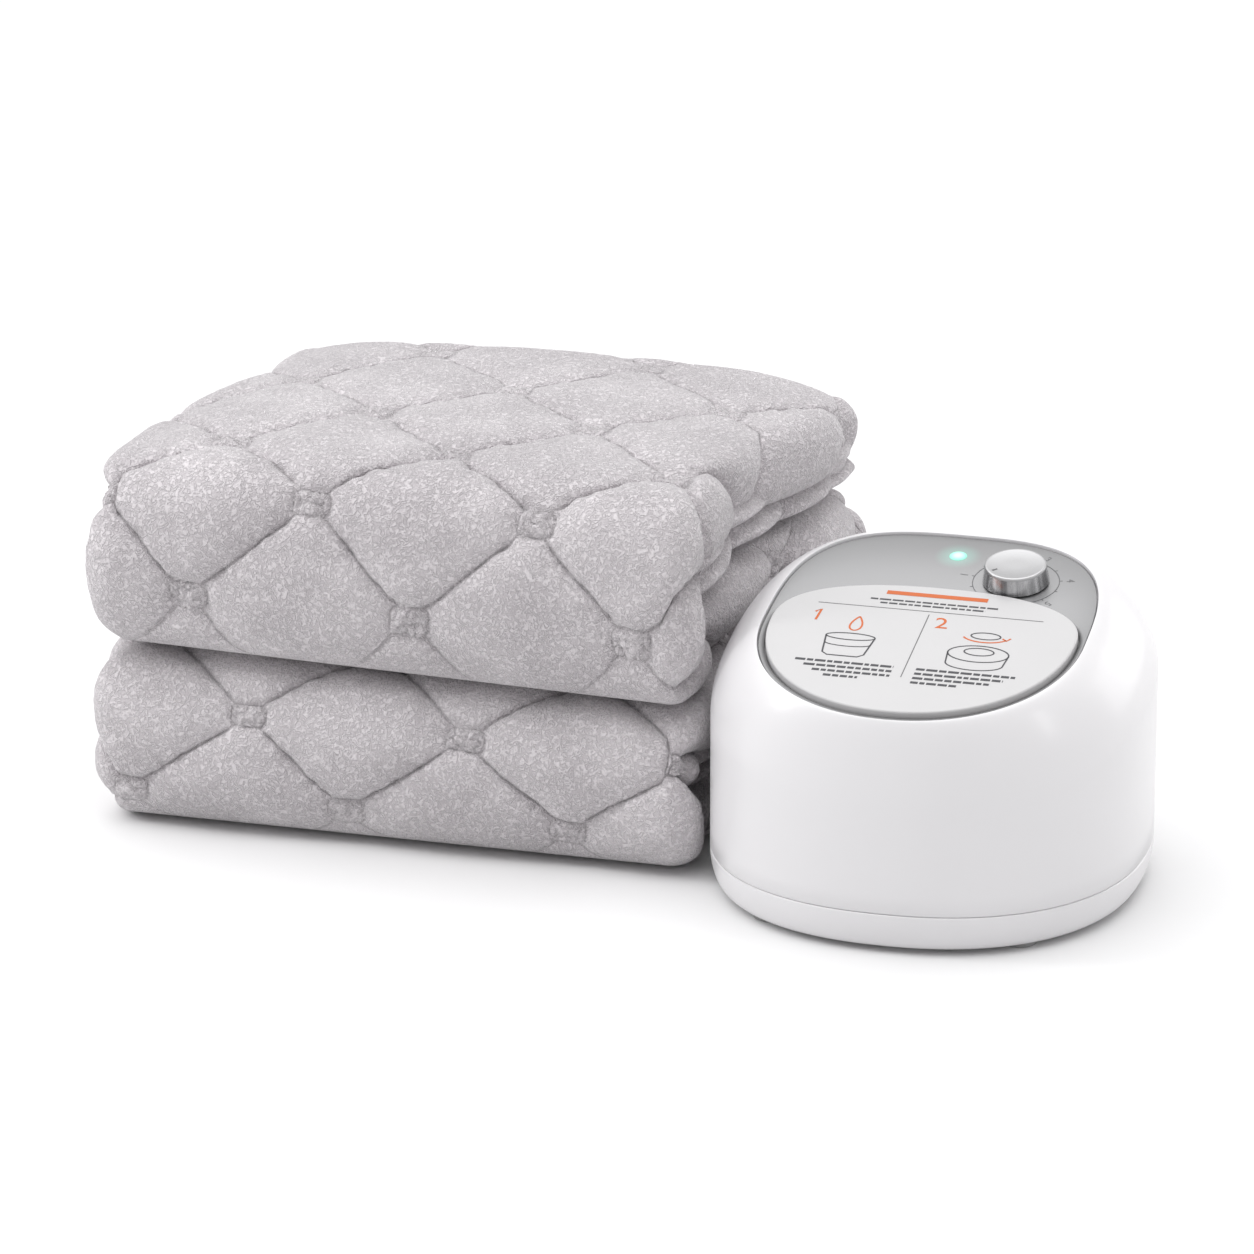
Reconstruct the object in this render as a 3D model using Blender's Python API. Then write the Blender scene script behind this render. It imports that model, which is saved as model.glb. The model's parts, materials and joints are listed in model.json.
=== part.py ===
"""A folded water-heated mattress pad and its heater and pump unit, piece by piece.

Metres, +Z up. The set stands on z = 0 with its box centred on the origin: the folded pad to the
left and behind, the unit to the right and in front. Pieces of the unit are placed from the empty
"unit_place" on the ground under the unit's centre, and pieces of its sloping top from "panel_place",
whose axes are u across, v up the slope and w out of the panel.
"""

import math

import bmesh
import bpy
import numpy as np
from mathutils import Matrix, Vector

for old_object in list(bpy.data.objects):
    bpy.data.objects.remove(old_object)

# Fits
touch_gap = 0.0003
slip_gap = 0.0006
overrun = 0.002

# The set
pad_to_unit_gap = 0.003
unit_lead = 0.067

# Folded pad
pad_front_width = 0.337
pad_depth = 0.311
bundle_height = 0.106
layer_thickness = 0.036
fold_front_depth = 0.046
inner_front_depth = 0.016
front_exponent = 2.7
side_round = 0.017
pad_skew = 0.030
skew_start_share = 0.30
skew_end_share = 0.80
top_crown = 0.010
quilt_pitch = 0.123
quilt_row = 0.0605
quilt_depth = 0.0050
quilt_reach = 0.010
upper_quilt_x = -0.043
upper_quilt_row = 0.040
lower_quilt_x = 0.044
lower_quilt_row = 0.029
quilt_fade = 0.020
roll_radius = 0.018
rear_round = 0.006
rear_shrink_share = 0.86
inner_fold_lobe = 0.012
inner_fold_setback = 0.006

# Water tube sealed between the layers, and its coupling
tube_radius = 0.003
tube_pitch = 0.040
tube_margin = 0.030
tube_runs = 5
coupling_length = 0.016
coupling_width = 0.046
coupling_height = 0.016
coupling_from_rear = 0.060
coupling_edge = 0.002
nipple_spacing = 0.022
coupling_nipple_length = 0.0115

# Housing of the unit
shell_width = 0.230
shell_depth = 0.246
plan_exponent = 2.25
wall = 0.0028
foot_height = 0.003
seam_height = 0.023
base_tuck = 0.0078
lip_height = 0.005
lip_thickness = 0.0016
shoulder_height = 0.107
shoulder_exponent = 1.55

# Sloping panel: its plane passes over the unit's centre at this height
panel_height = 0.1515
panel_tilt = math.radians(12.5)
widest_v = -0.030
rim_side_inset = 0.0295
rim_front_inset = 0.0345
rim_rear_inset = 0.022
rim_front_exponent = 2.1
rim_rear_exponent = 3.1
ledge_width = 0.0016
ledge_drop = 0.0039
ledge_thickness = 0.0015
bezel_gap = 0.00035
bezel_drop = 0.0012

# Lid of the tank
lid_side_inset = 0.0045
lid_front_inset = 0.006
lid_rear_inset = 0.0582
lid_front_exponent = 2.1
lid_rear_exponent = 2.4
lid_rise = 0.0015
lid_round = 0.0015
lid_plate = 0.0025
lid_gap = 0.0008
lid_seat = 0.0055
lid_ledge = 0.005
well_wall = 0.0014
well_floor = 0.002
skirt_thickness = 0.0016

# Tank, filler neck and screw cap
tank_front_inset = 0.019
tank_side_inset = 0.047
tank_to_pump = 0.032
tank_exponent = 4.0
tank_bottom = 0.032
tank_top_w = -0.030
tank_wall = 0.0024
neck_from_back = 0.036
neck_radius = 0.022
neck_bore = 0.0175
neck_top_w = -0.016
seal_inner = 0.0185
seal_outer = 0.0215
seal_thickness = 0.0016
cap_radius = 0.026
cap_plate = 0.0026
cap_skirt_w = -0.025
grip_length = 0.036
grip_width = 0.006
grip_height = 0.0035

# Water fittings
nipple_radius = 0.004
nipple_bore = 0.0026
nipple_length = 0.014
hose_outer = 0.0064
hose_inner = 0.0044

# Level float
float_from_side = 0.026
stem_radius = 0.0025
stem_flange = 0.006
stem_flange_height = 0.0025
stem_height = 0.062
float_radius = 0.012
float_height = 0.014

# Circulation pump, lying along Y
pump_x_share = -10 / 23
pump_z = 0.040
pump_front_share = 20 / 123
pump_radius = 0.026
cover_thickness = 0.004
volute_length = 0.020
cavity_radius = 0.0205
cavity_depth = 0.016
discharge_offset = 0.012
discharge_rise = 0.016
arch_rise = 0.024
motor_radius = 0.019
motor_length = 0.044
motor_edge = 0.003
shaft_radius = 0.002
shaft_in_motor = 0.008
impeller_radius = 0.017
impeller_hub = 0.006
impeller_disc = 0.002
impeller_width = 0.009
impeller_clearance = 0.001
blade_thickness = 0.0016

# Heater
heater_x_share = 6 / 23
heater_front_share = 12 / 123
heater_length = 0.056
heater_width = 0.032
heater_bottom = 0.028
heater_height = 0.026
port_z = 0.042
cartridge_radius = 0.0040
cartridge_reach = 0.007
cartridge_offset = 0.009
cartridge_z = 0.036
cutout_radius = 0.007
cutout_height = 0.006

# Flat boss on the back, with the ports and the mains inlet
boss_width = 0.088
boss_height = 0.062
boss_z = 0.0615
boss_sink = 0.0105
boss_proud = 0.0006
boss_edge = 0.003
return_x = 0.0
return_tank_z = 0.085
port_inner_reach = 0.0115
port_flange_radius = 0.009
port_flange = 0.0030
port_neck_radius = 0.0062
port_outer_reach = 0.0174
inlet_x = -0.028
inlet_z = 0.080
inlet_width = 0.026
inlet_height = 0.016
inlet_depth = 0.026
inlet_recess_depth = 0.017
inlet_wall = 0.003
inlet_proud = 0.001
pin_radius = 0.0012
pin_spacing = 0.0088
pin_length = 0.0135

# Boards
board_thickness = 0.0016
heater_to_board = 0.005
main_board_y_share = 19 / 123
main_board_width = 0.042
main_board_depth = 0.048
main_board_z = 0.022
control_board_left = 0.015
control_board_up = 0.0085
control_board_width = 0.066
control_board_depth = 0.046
control_board_w = -0.0137
peg_radius = 0.0025
converter_width = 0.020
converter_depth = 0.028
converter_height = 0.018
relay_inset = 0.0045
relay_width = 0.014
relay_depth = 0.019
relay_height = 0.016
capacitor_radius = 0.0055
capacitor_height = 0.020

# Dial and lamp
dial_from_side = 0.0495
dial_from_rear = 0.0415
knob_base_radius = 0.0175
knob_top_radius = 0.0162
knob_height = 0.0105
knob_edge = 0.0007
knob_wall = 0.0022
knob_hub_radius = 0.0055
knob_socket_depth = 0.0078
dial_shaft_radius = 0.003
dial_shaft_hole = 0.0046
pot_radius = 0.0085
pot_height = 0.0065
pot_bushing_radius = 0.0041
pointer_length = 0.005
pointer_width = 0.0014
pointer_depth = 0.0006
pointer_angle = math.radians(218.0)
lamp_from_rear = 0.0202
lamp_radius = 0.0047
lamp_flange_radius = 0.0058
lamp_flange = 0.0014
lamp_dome = 0.0008
led_radius = 0.0025

# Screws, posts and feet
screw_inset = 0.022
screw_angle = math.radians(30.0)
post_radius = 0.0055
post_bite = 0.0012
post_rise = 0.012
post_top = 0.070
web_thickness = 0.003
pilot_radius = 0.0019
pilot_depth = 0.020
screw_shank = 0.0015
screw_head = 0.0034
screw_head_height = 0.0022
head_pocket = 0.0039
head_pocket_depth = 0.0045
screw_reach = 0.013
foot_radius = 0.009
foot_edge = 0.0008
foot_angle = math.radians(50.0)
foot_inset = 0.017
stand_radius = 0.0035
rib_thickness = 0.006
rib_from_side = 0.023
lead_radius = 0.0014
control_lead_u = 0.020

# Counts
plan_segments = 48
shoulder_rings = 6
round_segments = 24
small_segments = 12
knob_segments = 36
hose_sides = 8
lead_sides = 5
lead_steps = 28
contour_steps = 41
blade_count = 6
lamp_crown_share = 0.55

# Places that follow from the sizes above
overall_width = pad_front_width + pad_to_unit_gap + shell_width
overall_depth = pad_depth + unit_lead
pad_left = -overall_width / 2
pad_front = -overall_depth / 2 + unit_lead
unit_x = overall_width / 2 - shell_width / 2
unit_y = -overall_depth / 2 + shell_depth / 2
hinge_y = overall_depth / 2 - roll_radius
hinge_z = bundle_height
lower_level = (bundle_height - touch_gap) / 2
upper_level = hinge_z + (bundle_height + touch_gap) / 2
slot_half = lower_level - layer_thickness
tube_height = tube_radius + touch_gap - slot_half
floor_top = foot_height + wall

# Inside the unit, from the shell's half width and half depth
half_width = shell_width / 2
half_depth = shell_depth / 2
rim_half_width = half_width - rim_side_inset
rim_front = half_depth - rim_front_inset
rim_rear = half_depth - rim_rear_inset
lid_half_width = rim_half_width - lid_side_inset
lid_front = rim_front - lid_front_inset
lid_rear = rim_rear - lid_rear_inset
pump_x = pump_x_share * half_width
pump_front = pump_front_share * half_depth
volute_front = pump_front + cover_thickness + touch_gap
tank_front = -half_depth + tank_front_inset
tank_back = pump_front - tank_to_pump
tank_y = (tank_front + tank_back) / 2
tank_half_depth = (tank_back - tank_front) / 2
tank_half_width = half_width - tank_side_inset
neck_v = tank_back - neck_from_back
float_x = float_from_side - tank_half_width
rib_x = tank_half_width - rib_from_side
heater_x = heater_x_share * half_width
heater_front = heater_front_share * half_depth
cartridge_x = heater_x - cartridge_offset
main_board_x = heater_x + heater_width / 2 + heater_to_board + main_board_width / 2
main_board_y = main_board_y_share * half_depth
boss_front = half_depth - boss_sink
boss_back = half_depth + boss_proud
port_inner_end = boss_front - port_inner_reach
port_outer_end = boss_back + port_outer_reach
dial_u = rim_half_width - dial_from_side
dial_v = widest_v + rim_rear - dial_from_rear
lamp_v = widest_v + rim_rear - lamp_from_rear
control_board_u = dial_u - control_board_left
control_board_v = dial_v + control_board_up


def finish(name, colour, roughness, metallic=0.0):
    """One plain material, looked up again when it is asked for twice."""
    found = bpy.data.materials.get(name)
    if found:
        return found
    made = bpy.data.materials.new(name)
    made.use_nodes = True
    shader = made.node_tree.nodes["Principled BSDF"]
    shader.inputs["Base Color"].default_value = (*colour, 1.0)
    shader.inputs["Roughness"].default_value = roughness
    shader.inputs["Metallic"].default_value = metallic
    made.diffuse_color = (*colour, 1.0)
    return made


plush = finish("plush", (0.56, 0.53, 0.54), 0.95)
white_plastic = finish("white_plastic", (0.86, 0.86, 0.87), 0.22)
silver_paint = finish("silver_paint", (0.52, 0.53, 0.54), 0.38, 0.6)
lid_white = finish("lid_white", (0.84, 0.84, 0.84), 0.35)
brushed_metal = finish("brushed_metal", (0.62, 0.62, 0.63), 0.28, 1.0)
lamp_green = finish("lamp_green", (0.30, 0.86, 0.62), 0.30)
tank_plastic = finish("tank_plastic", (0.80, 0.84, 0.87), 0.40)
dark_plastic = finish("dark_plastic", (0.06, 0.06, 0.065), 0.45)
grey_plastic = finish("grey_plastic", (0.45, 0.47, 0.50), 0.45)
silicone = finish("silicone", (0.78, 0.78, 0.76), 0.50)
soft_rubber = finish("soft_rubber", (0.05, 0.05, 0.05), 0.80)
float_foam = finish("float_foam", (0.85, 0.42, 0.14), 0.70)
cast_aluminium = finish("cast_aluminium", (0.66, 0.67, 0.68), 0.42, 1.0)
steel = finish("steel", (0.60, 0.60, 0.60), 0.30, 1.0)
board_green = finish("board_green", (0.05, 0.24, 0.13), 0.45)
wire_black = finish("wire_black", (0.04, 0.04, 0.045), 0.60)


def empty(name, place, tilt=0.0, parent=None):
    made = bpy.data.objects.new(name, None)
    made.location = place
    made.rotation_euler = (tilt, 0.0, 0.0)
    made.parent = parent
    bpy.context.scene.collection.objects.link(made)
    return made


unit_place = empty("unit_place", (unit_x, unit_y, 0.0))
pad_hinge = empty("pad_hinge", (0.0, hinge_y, hinge_z))
panel_place = empty("panel_place", (0.0, 0.0, panel_height), panel_tilt, unit_place)


class Form:
    """Points and faces of one or more closed shapes."""

    def __init__(self, points, faces):
        self.points = np.asarray(points, float)
        self.faces = [tuple(int(i) for i in face) for face in faces]

    def __add__(self, other):
        shift = len(self.points)
        moved = [tuple(i + shift for i in face) for face in other.faces]
        return Form(np.vstack([self.points, other.points]), self.faces + moved)

    def at(self, x=0.0, y=0.0, z=0.0):
        return Form(self.points + np.array([x, y, z]), self.faces)

    def turned_to(self, axis):
        """The same form with its own +Z axis laid along +X, -X or +Y."""
        x, y, z = self.points.T
        moved = {"X": (z, y, -x), "-X": (-z, y, x), "Y": (x, z, -y)}[axis]
        return Form(np.stack(moved, axis=1), self.faces)


def build(name, form, material, parent=None, place=(0.0, 0.0, 0.0), turn=(0.0, 0.0, 0.0)):
    """One object from a form, its faces turned outward and its round stretches smooth."""
    mesh = bpy.data.meshes.new(name)
    mesh.from_pydata([tuple(p) for p in form.points], [], form.faces)
    shape = bmesh.new()
    shape.from_mesh(mesh)
    bmesh.ops.recalc_face_normals(shape, faces=shape.faces)
    shape.to_mesh(mesh)
    shape.free()
    mesh.shade_smooth()
    mesh.set_sharp_from_angle(angle=math.radians(35.0))
    mesh.materials.append(material)
    made = bpy.data.objects.new(name, mesh)
    made.location = place
    made.rotation_euler = turn
    made.parent = parent
    bpy.context.scene.collection.objects.link(made)
    return made


def together(forms):
    """Several separate closed shapes as one form."""
    whole = forms[0]
    for form in forms[1:]:
        whole = whole + form
    return whole


def boolean(target, form, operation):
    """Joins a helper shape to the target, or cuts it away; the helper itself is not rendered."""
    name = f"{target.name}_{operation.lower()}_{len(target.modifiers)}"
    helper = build(name, form, dark_plastic, target.parent, target.location, target.rotation_euler)
    helper.hide_render = True
    helper.display_type = "WIRE"
    step = target.modifiers.new(helper.name, "BOOLEAN")
    step.operation = operation
    step.object = helper
    step.solver = "EXACT"


def loft(rings, closed=False):
    """Quads between neighbouring rings of equal size, with flat ends or closed on itself."""
    count = len(rings[0])
    points = np.vstack(rings)
    faces = []
    last = len(rings) if closed else len(rings) - 1
    for row in range(last):
        low = row * count
        high = (row + 1) % len(rings) * count
        for i in range(count):
            j = (i + 1) % count
            faces.append((low + i, low + j, high + j, high + i))
    if not closed:
        faces.append(tuple(range(count))[::-1])
        faces.append(tuple(range(len(points) - count, len(points))))
    return Form(points, faces)


def turned(profile, segments=round_segments, closed=False):
    """A profile of (radius, height) pairs carried round the Z axis."""
    angles = np.arange(segments) * 2 * math.pi / segments
    rings = []
    for radius, height in profile:
        ring = np.stack([radius * np.cos(angles), radius * np.sin(angles)], axis=1)
        rings.append(np.column_stack([ring, np.full(segments, height)]))
    return loft(rings, closed)


def rod(radius, low, high, segments=small_segments):
    return turned([(radius, low), (radius, high)], segments)


def tube(outer, bore, low, high, segments=small_segments):
    return turned([(outer, low), (outer, high), (bore, high), (bore, low)], segments, True)


def block(width, depth, height):
    """A box centred on X and Y that stands on z = 0."""
    x, y = width / 2, depth / 2
    base = np.array([(-x, -y, 0.0), (x, -y, 0.0), (x, y, 0.0), (-x, y, 0.0)])
    return loft([base, base + np.array([0.0, 0.0, height])])


def chamfered_block(width, depth, height, edge):
    """The same box with its upright and upper edges cut off."""
    rings = []
    for shrink, level in ((0.0, 0.0), (0.0, height - edge), (edge, height)):
        x, y = width / 2 - shrink, depth / 2 - shrink
        corners = [(-x + edge, -y), (x - edge, -y), (x, -y + edge), (x, y - edge)]
        corners += [(x - edge, y), (-x + edge, y), (-x, y - edge), (-x, -y + edge)]
        rings.append(np.array([(a, b, level) for a, b in corners]))
    return loft(rings)


def signed_power(value, power):
    return np.sign(value) * np.abs(value) ** power


def plan_outline(half_width, half_depth, exponent, count=plan_segments):
    """A superellipse: |x/w|^n + |y/d|^n = 1, at even steps of its own angle."""
    angle = np.arange(count) * 2 * math.pi / count
    x = half_width * signed_power(np.cos(angle), 2 / exponent)
    y = half_depth * signed_power(np.sin(angle), 2 / exponent)
    return x, y


def plan_point(half_width, half_depth, exponent, angle):
    x = half_width * math.cos(angle) ** (2 / exponent)
    y = half_depth * math.sin(angle) ** (2 / exponent)
    return x, y


def egg_outline(half_width, front, rear, front_exponent, rear_exponent, grow=0.0):
    """Two superellipse halves that share their widest line, one reaching front and one back."""
    angle = np.arange(plan_segments) * 2 * math.pi / plan_segments
    back = np.sin(angle) > 0
    exponent = np.where(back, rear_exponent, front_exponent)
    reach = np.where(back, rear, front) + grow
    u = (half_width + grow) * signed_power(np.cos(angle), 2 / exponent)
    v = widest_v + reach * signed_power(np.sin(angle), 2 / exponent)
    return u, v


def rim_outline(grow=0.0):
    return egg_outline(
        rim_half_width, rim_front, rim_rear, rim_front_exponent, rim_rear_exponent, grow
    )


def lid_outline(grow=0.0):
    return egg_outline(
        lid_half_width, lid_front, lid_rear, lid_front_exponent, lid_rear_exponent, grow
    )


def ring_at(outline, height):
    x, y = outline
    return np.stack([x, y, np.broadcast_to(height, x.shape)], axis=1)


def on_panel(u, v, w):
    """Panel coordinates as coordinates of the unit."""
    y = v * math.cos(panel_tilt) - w * math.sin(panel_tilt)
    z = panel_height + v * math.sin(panel_tilt) + w * math.cos(panel_tilt)
    return np.stack([np.broadcast_to(u, np.shape(y)), y, z], axis=-1)


def smooth_route(points, count):
    """Even steps along the Catmull-Rom curve through the points, straight at both ends."""
    points = np.asarray(points, float)
    ends = [2 * points[0] - points[1], *points, 2 * points[-1] - points[-2]]
    ends = np.array(ends)
    dense = []
    for i in range(1, len(ends) - 2):
        a, b, c, d = ends[i - 1 : i + 3]
        for t in np.linspace(0.0, 1.0, 24, endpoint=False):
            bend = (2 * a - 5 * b + 4 * c - d) * t**2 + (3 * b - a - 3 * c + d) * t**3
            dense.append((2 * b + (c - a) * t + bend) / 2)
    dense.append(points[-1])
    dense = np.array(dense)
    reach = np.concatenate([[0.0], np.cumsum(np.linalg.norm(np.diff(dense, axis=0), axis=1))])
    steps = np.linspace(0.0, reach[-1], count)
    return np.stack([np.interp(steps, reach, dense[:, k]) for k in range(3)], axis=1)


def swept_rings(route, radius, sides, along):
    """Circles square to the route, carried along it without twist."""
    angle = np.arange(sides) * 2 * math.pi / sides
    side = Vector(along[0]).orthogonal().normalized()
    rings = []
    for place, heading in zip(route, along):
        heading = Vector(heading)
        side = (side - heading * side.dot(heading)).normalized()
        other = heading.cross(side)
        spokes = np.outer(np.cos(angle), side) + np.outer(np.sin(angle), other)
        rings.append(place + radius * spokes)
    return rings


def hose(route, outer, inner, sides=hose_sides):
    """A hose along its route, with a bore when an inner radius is given."""
    along = np.gradient(route, axis=0)
    along /= np.linalg.norm(along, axis=1)[:, None]
    rings = swept_rings(route, outer, sides, along)
    if inner:
        rings += swept_rings(route, inner, sides, along)[::-1]
    return loft(rings, closed=bool(inner))


# The folded pad
def skew_at(y):
    """How far right the stack has slid at this depth, in a smooth step."""
    start = pad_front + skew_start_share * pad_depth
    end = pad_front + skew_end_share * pad_depth
    share = np.clip((y - start) / (end - start), 0.0, 1.0)
    return pad_skew * share**2 * (3 - 2 * share)


def quilt_line(x, s, quilt_x, row_start):
    """How near the quilting is: 1 on the diamond lines, falling off smoothly to 0 within a cell."""
    across = (x - quilt_x) / quilt_pitch
    along = (s - row_start) / (2 * quilt_row)
    rising = np.abs((across + along) - np.round(across + along))
    falling = np.abs((across - along) - np.round(across - along))
    away = np.minimum(rising, falling) * quilt_pitch / math.sqrt(2)
    return np.exp(-((away / quilt_reach) ** 2))


def place_on_hinge(made, hinge, level):
    """Sets a bundle's piece at its level, under the hinge of the stack when it swings with it."""
    made.location = (0.0, 0.0, level)
    if hinge:
        made.parent = hinge
        made.location = (0.0, -hinge_y, level - hinge_z)


def fold_contour(start_y, depth, half_height, exponent):
    """One side of a folded layer in (y, z): along the top, round the front, back underneath."""
    rear = hinge_y - roll_radius - touch_gap - rear_round
    bend = np.linspace(math.pi / 2, -math.pi / 2, contour_steps)
    front = start_y - depth * signed_power(np.abs(np.cos(bend)), 2 / exponent)
    level = half_height * signed_power(np.sin(bend), 2 / exponent)
    over = np.linspace(rear, start_y, contour_steps)[:-1]
    under = np.linspace(start_y, rear, contour_steps)[1:]
    y = np.concatenate([over, front, under])
    z = np.concatenate([np.full(over.shape, half_height), level, np.full(under.shape, -half_height)])
    return np.stack([y, z], axis=1)


def fold_sections(row_start):
    """Outer and inner contour at thirds of a quilting row, and each place's run from the front."""
    outer = fold_contour(pad_front + fold_front_depth, fold_front_depth, lower_level, front_exponent)
    slot_front = pad_front + layer_thickness + inner_front_depth
    inner = fold_contour(slot_front, inner_front_depth, slot_half, 2.0)
    steps = np.linalg.norm(np.diff(outer, axis=0), axis=1)
    run = np.concatenate([[0.0], np.cumsum(steps)])
    middle = run[-1] / 2
    under = run[2 * contour_steps - 2]
    third = quilt_row / 3
    first = math.ceil((row_start - middle) / third + 0.5) * third
    rows = np.arange(first - row_start, under - middle - third / 2, third) + middle
    marks = np.concatenate([[0.0], rows, np.linspace(under, run[-1], 4)])
    sampled = [np.interp(marks, run, column) for column in (*outer.T, *inner.T)]
    return np.stack(sampled[:2], axis=1), np.stack(sampled[2:], axis=1), middle - marks


def outer_fold(name, hinge, level, quilt_x, row_start, crown):
    """One thick plush layer folded over the front of its bundle, quilted on its outside."""
    outer, inner, run = fold_sections(row_start)
    front_left = pad_left + side_round
    front_width = pad_front_width - 2 * side_round
    sixth = quilt_pitch / 6
    first = math.ceil((front_left - quilt_x) / sixth + 0.5)
    columns = np.arange(first * sixth, front_left + front_width - quilt_x - sixth / 2, sixth)
    across = np.concatenate([[0.0], (columns + quilt_x - front_left) / front_width, [1.0]])
    back_across = np.linspace(1.0, 0.0, 4)
    edge = math.pi * np.linspace(0, 1, 5)[1:-1]
    rings = []
    for (oy, oz), (iy, iz), s in zip(outer, inner, run):
        out = np.array([oy - iy, oz - iz])
        out /= np.linalg.norm(out)
        upper = max(out[1], 0.0)
        left = front_left + skew_at(oy)
        x = left + front_width * across
        depth_share = (oy - pad_front) / (hinge_y - pad_front)
        droop = crown * upper * ((2 * across - 1) ** 4 + (2 * depth_share - 1) ** 4 / 2)
        pull = quilt_depth * quilt_line(x, s, quilt_x, row_start)
        fade = np.clip(np.minimum(x - left, left + front_width - x) / quilt_fade, 0.0, 1.0)
        offset = np.zeros_like(x) if out[1] < -0.5 else -droop - pull * fade
        face = np.stack([x, oy + offset * out[0], oz + offset * out[1]], axis=1)
        back = left + front_width * back_across
        under = np.stack([back, np.full(4, iy), np.full(4, iz)], axis=1)
        share = ((1 + np.cos(edge)) / 2)[:, None]
        swell = side_round * np.sin(edge)[:, None]
        right_edge = np.hstack([back[0] + swell, under[0, 1:] + (face[-1, 1:] - under[0, 1:]) * share])
        left_edge = np.hstack([left - swell, under[-1, 1:] + (face[0, 1:] - under[-1, 1:]) * share])
        rings.append(np.vstack([face, right_edge, under, left_edge[::-1]]))
    tips = []
    for end in (0, -1):
        centre = np.array([0.0, 0.0, (outer[end, 1] + inner[end, 1]) / 2])
        tip = centre + (rings[end] - centre) * np.array([1.0, 1.0, rear_shrink_share])
        tips.append(tip + np.array([0.0, rear_round, 0.0]))
    place_on_hinge(build(name, loft([tips[0], *rings, tips[1]]), plush), hinge, level)


def inner_fold(name, hinge, level):
    """The two thinner layers tucked inside a bundle: a slab with two rounded lips at each side."""
    low = tube_height + tube_radius + touch_gap
    high = slot_half - touch_gap
    slot_front = pad_front + layer_thickness
    slot_full = slot_front + inner_front_depth
    rear = hinge_y - roll_radius - touch_gap - inner_fold_setback
    stations = [slot_front + share * inner_front_depth for share in (0.25, 0.5)]
    stations += [slot_full + share * (rear - slot_full) for share in (0.0, 0.2, 0.4, 0.6, 0.8, 0.97, 1.0)]
    lips = np.linspace(0.0, 1.0, 9)
    swell = inner_fold_lobe * np.abs(np.sin(2 * math.pi * lips))
    rings = []
    fullness_shares = (0.45, 0.75, 1.0, 1.0, 1.0, 1.0, 1.0, 1.0, 0.82)
    for y, full in zip(stations, fullness_shares):
        left = pad_left + side_round + skew_at(y)
        right = pad_left + pad_front_width - side_round + skew_at(y)
        middle = (low + high) / 2
        z_up = middle + (high - low) * full * (lips - 0.5)
        right_side = np.stack([right + swell, np.full(9, y), z_up], axis=1)
        left_side = np.stack([left - swell, np.full(9, y), z_up], axis=1)[::-1]
        rings.append(np.vstack([right_side, left_side]))
    place_on_hinge(build(name, loft(rings), plush), hinge, level)


def rear_fold():
    """The roll of plush at the back, round the line on which the stack opens."""
    left = pad_left + side_round / 2 + skew_at(hinge_y)
    length = pad_front_width - side_round
    profile = []
    for station in np.linspace(0.0, 1.0, 15):
        end = min(station, 1 - station) * length / roll_radius
        full = math.sqrt(max(0.0, 1 - max(0.0, 1 - end) ** 2)) if end < 1 else 1.0
        profile.append((roll_radius * max(full, 0.35), station * length))
    form = turned(profile, 16).turned_to("X")
    return build("rear_fold", form, plush, None, (left, hinge_y, hinge_z))


def water_tube(name, hinge, level):
    """A serpentine silicone tube lying flat between the layers of one bundle."""
    first = pad_front + layer_thickness + tube_margin
    half_turn = tube_pitch / 2
    left = pad_left + tube_margin + half_turn + pad_skew / 2
    right = pad_left + pad_front_width - tube_margin - half_turn
    points = []
    for run in range(tube_runs):
        y = first + run * tube_pitch
        ends = (left, right) if run % 2 == 0 else (right, left)
        points += [(x, y) for x in np.linspace(*ends, 4)]
        if run < tube_runs - 1:
            side = 1 if run % 2 == 0 else -1
            turn = np.linspace(-math.pi / 2, math.pi / 2, 7)[1:-1]
            for a in turn:
                points.append((ends[1] + side * half_turn * math.cos(a), y + half_turn * (1 + math.sin(a))))
    if not hinge:
        exit_y = hinge_y - coupling_from_rear - nipple_spacing / 2
        exit_x = pad_left + skew_at(hinge_y - coupling_from_rear) + touch_gap
        points = [(exit_x + i * tube_margin, exit_y) for i in range(2)] + [(right, exit_y)] + points[::-1][4:]
    curve = bpy.data.curves.new(name, "CURVE")
    curve.dimensions = "3D"
    curve.bevel_depth = tube_radius
    curve.bevel_resolution = 2
    curve.use_fill_caps = True
    spline = curve.splines.new("POLY")
    spline.points.add(len(points) - 1)
    for point, (x, y) in zip(spline.points, points):
        point.co = (x, y, tube_height, 1.0)
    curve.materials.append(silicone)
    made = bpy.data.objects.new(name, curve)
    bpy.context.scene.collection.objects.link(made)
    place_on_hinge(made, hinge, level)


def pad_coupling():
    """The pad's own water connection: a moulded block on its left side with two hose nipples."""
    y = hinge_y - coupling_from_rear
    z = lower_level + tube_height
    face = pad_left + skew_at(y) - touch_gap
    body = chamfered_block(coupling_height, coupling_width, coupling_length, coupling_edge)
    made = build("pad_coupling", body.turned_to("-X"), grey_plastic, None, (face, y, z))
    start = coupling_length - coupling_edge
    end = coupling_length + coupling_nipple_length
    sides = (-nipple_spacing / 2, nipple_spacing / 2)
    nipples = [rod(nipple_radius, start, end).turned_to("-X").at(y=side) for side in sides]
    boolean(made, together(nipples), "UNION")
    bores = [rod(nipple_bore, coupling_edge, end + overrun).turned_to("-X").at(y=side) for side in sides]
    boolean(made, together(bores), "DIFFERENCE")


def folded_pad():
    middle = pad_left + pad_front_width / 2
    outer_fold("lower_outer_fold", None, lower_level, middle + lower_quilt_x, lower_quilt_row, 0.0)
    inner_fold("lower_inner_fold", None, lower_level)
    water_tube("lower_water_tube", None, lower_level)
    outer_fold("upper_outer_fold", pad_hinge, upper_level, middle + upper_quilt_x, upper_quilt_row, top_crown)
    inner_fold("upper_inner_fold", pad_hinge, upper_level)
    water_tube("upper_water_tube", pad_hinge, upper_level)
    rear_fold()
    pad_coupling()


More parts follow.
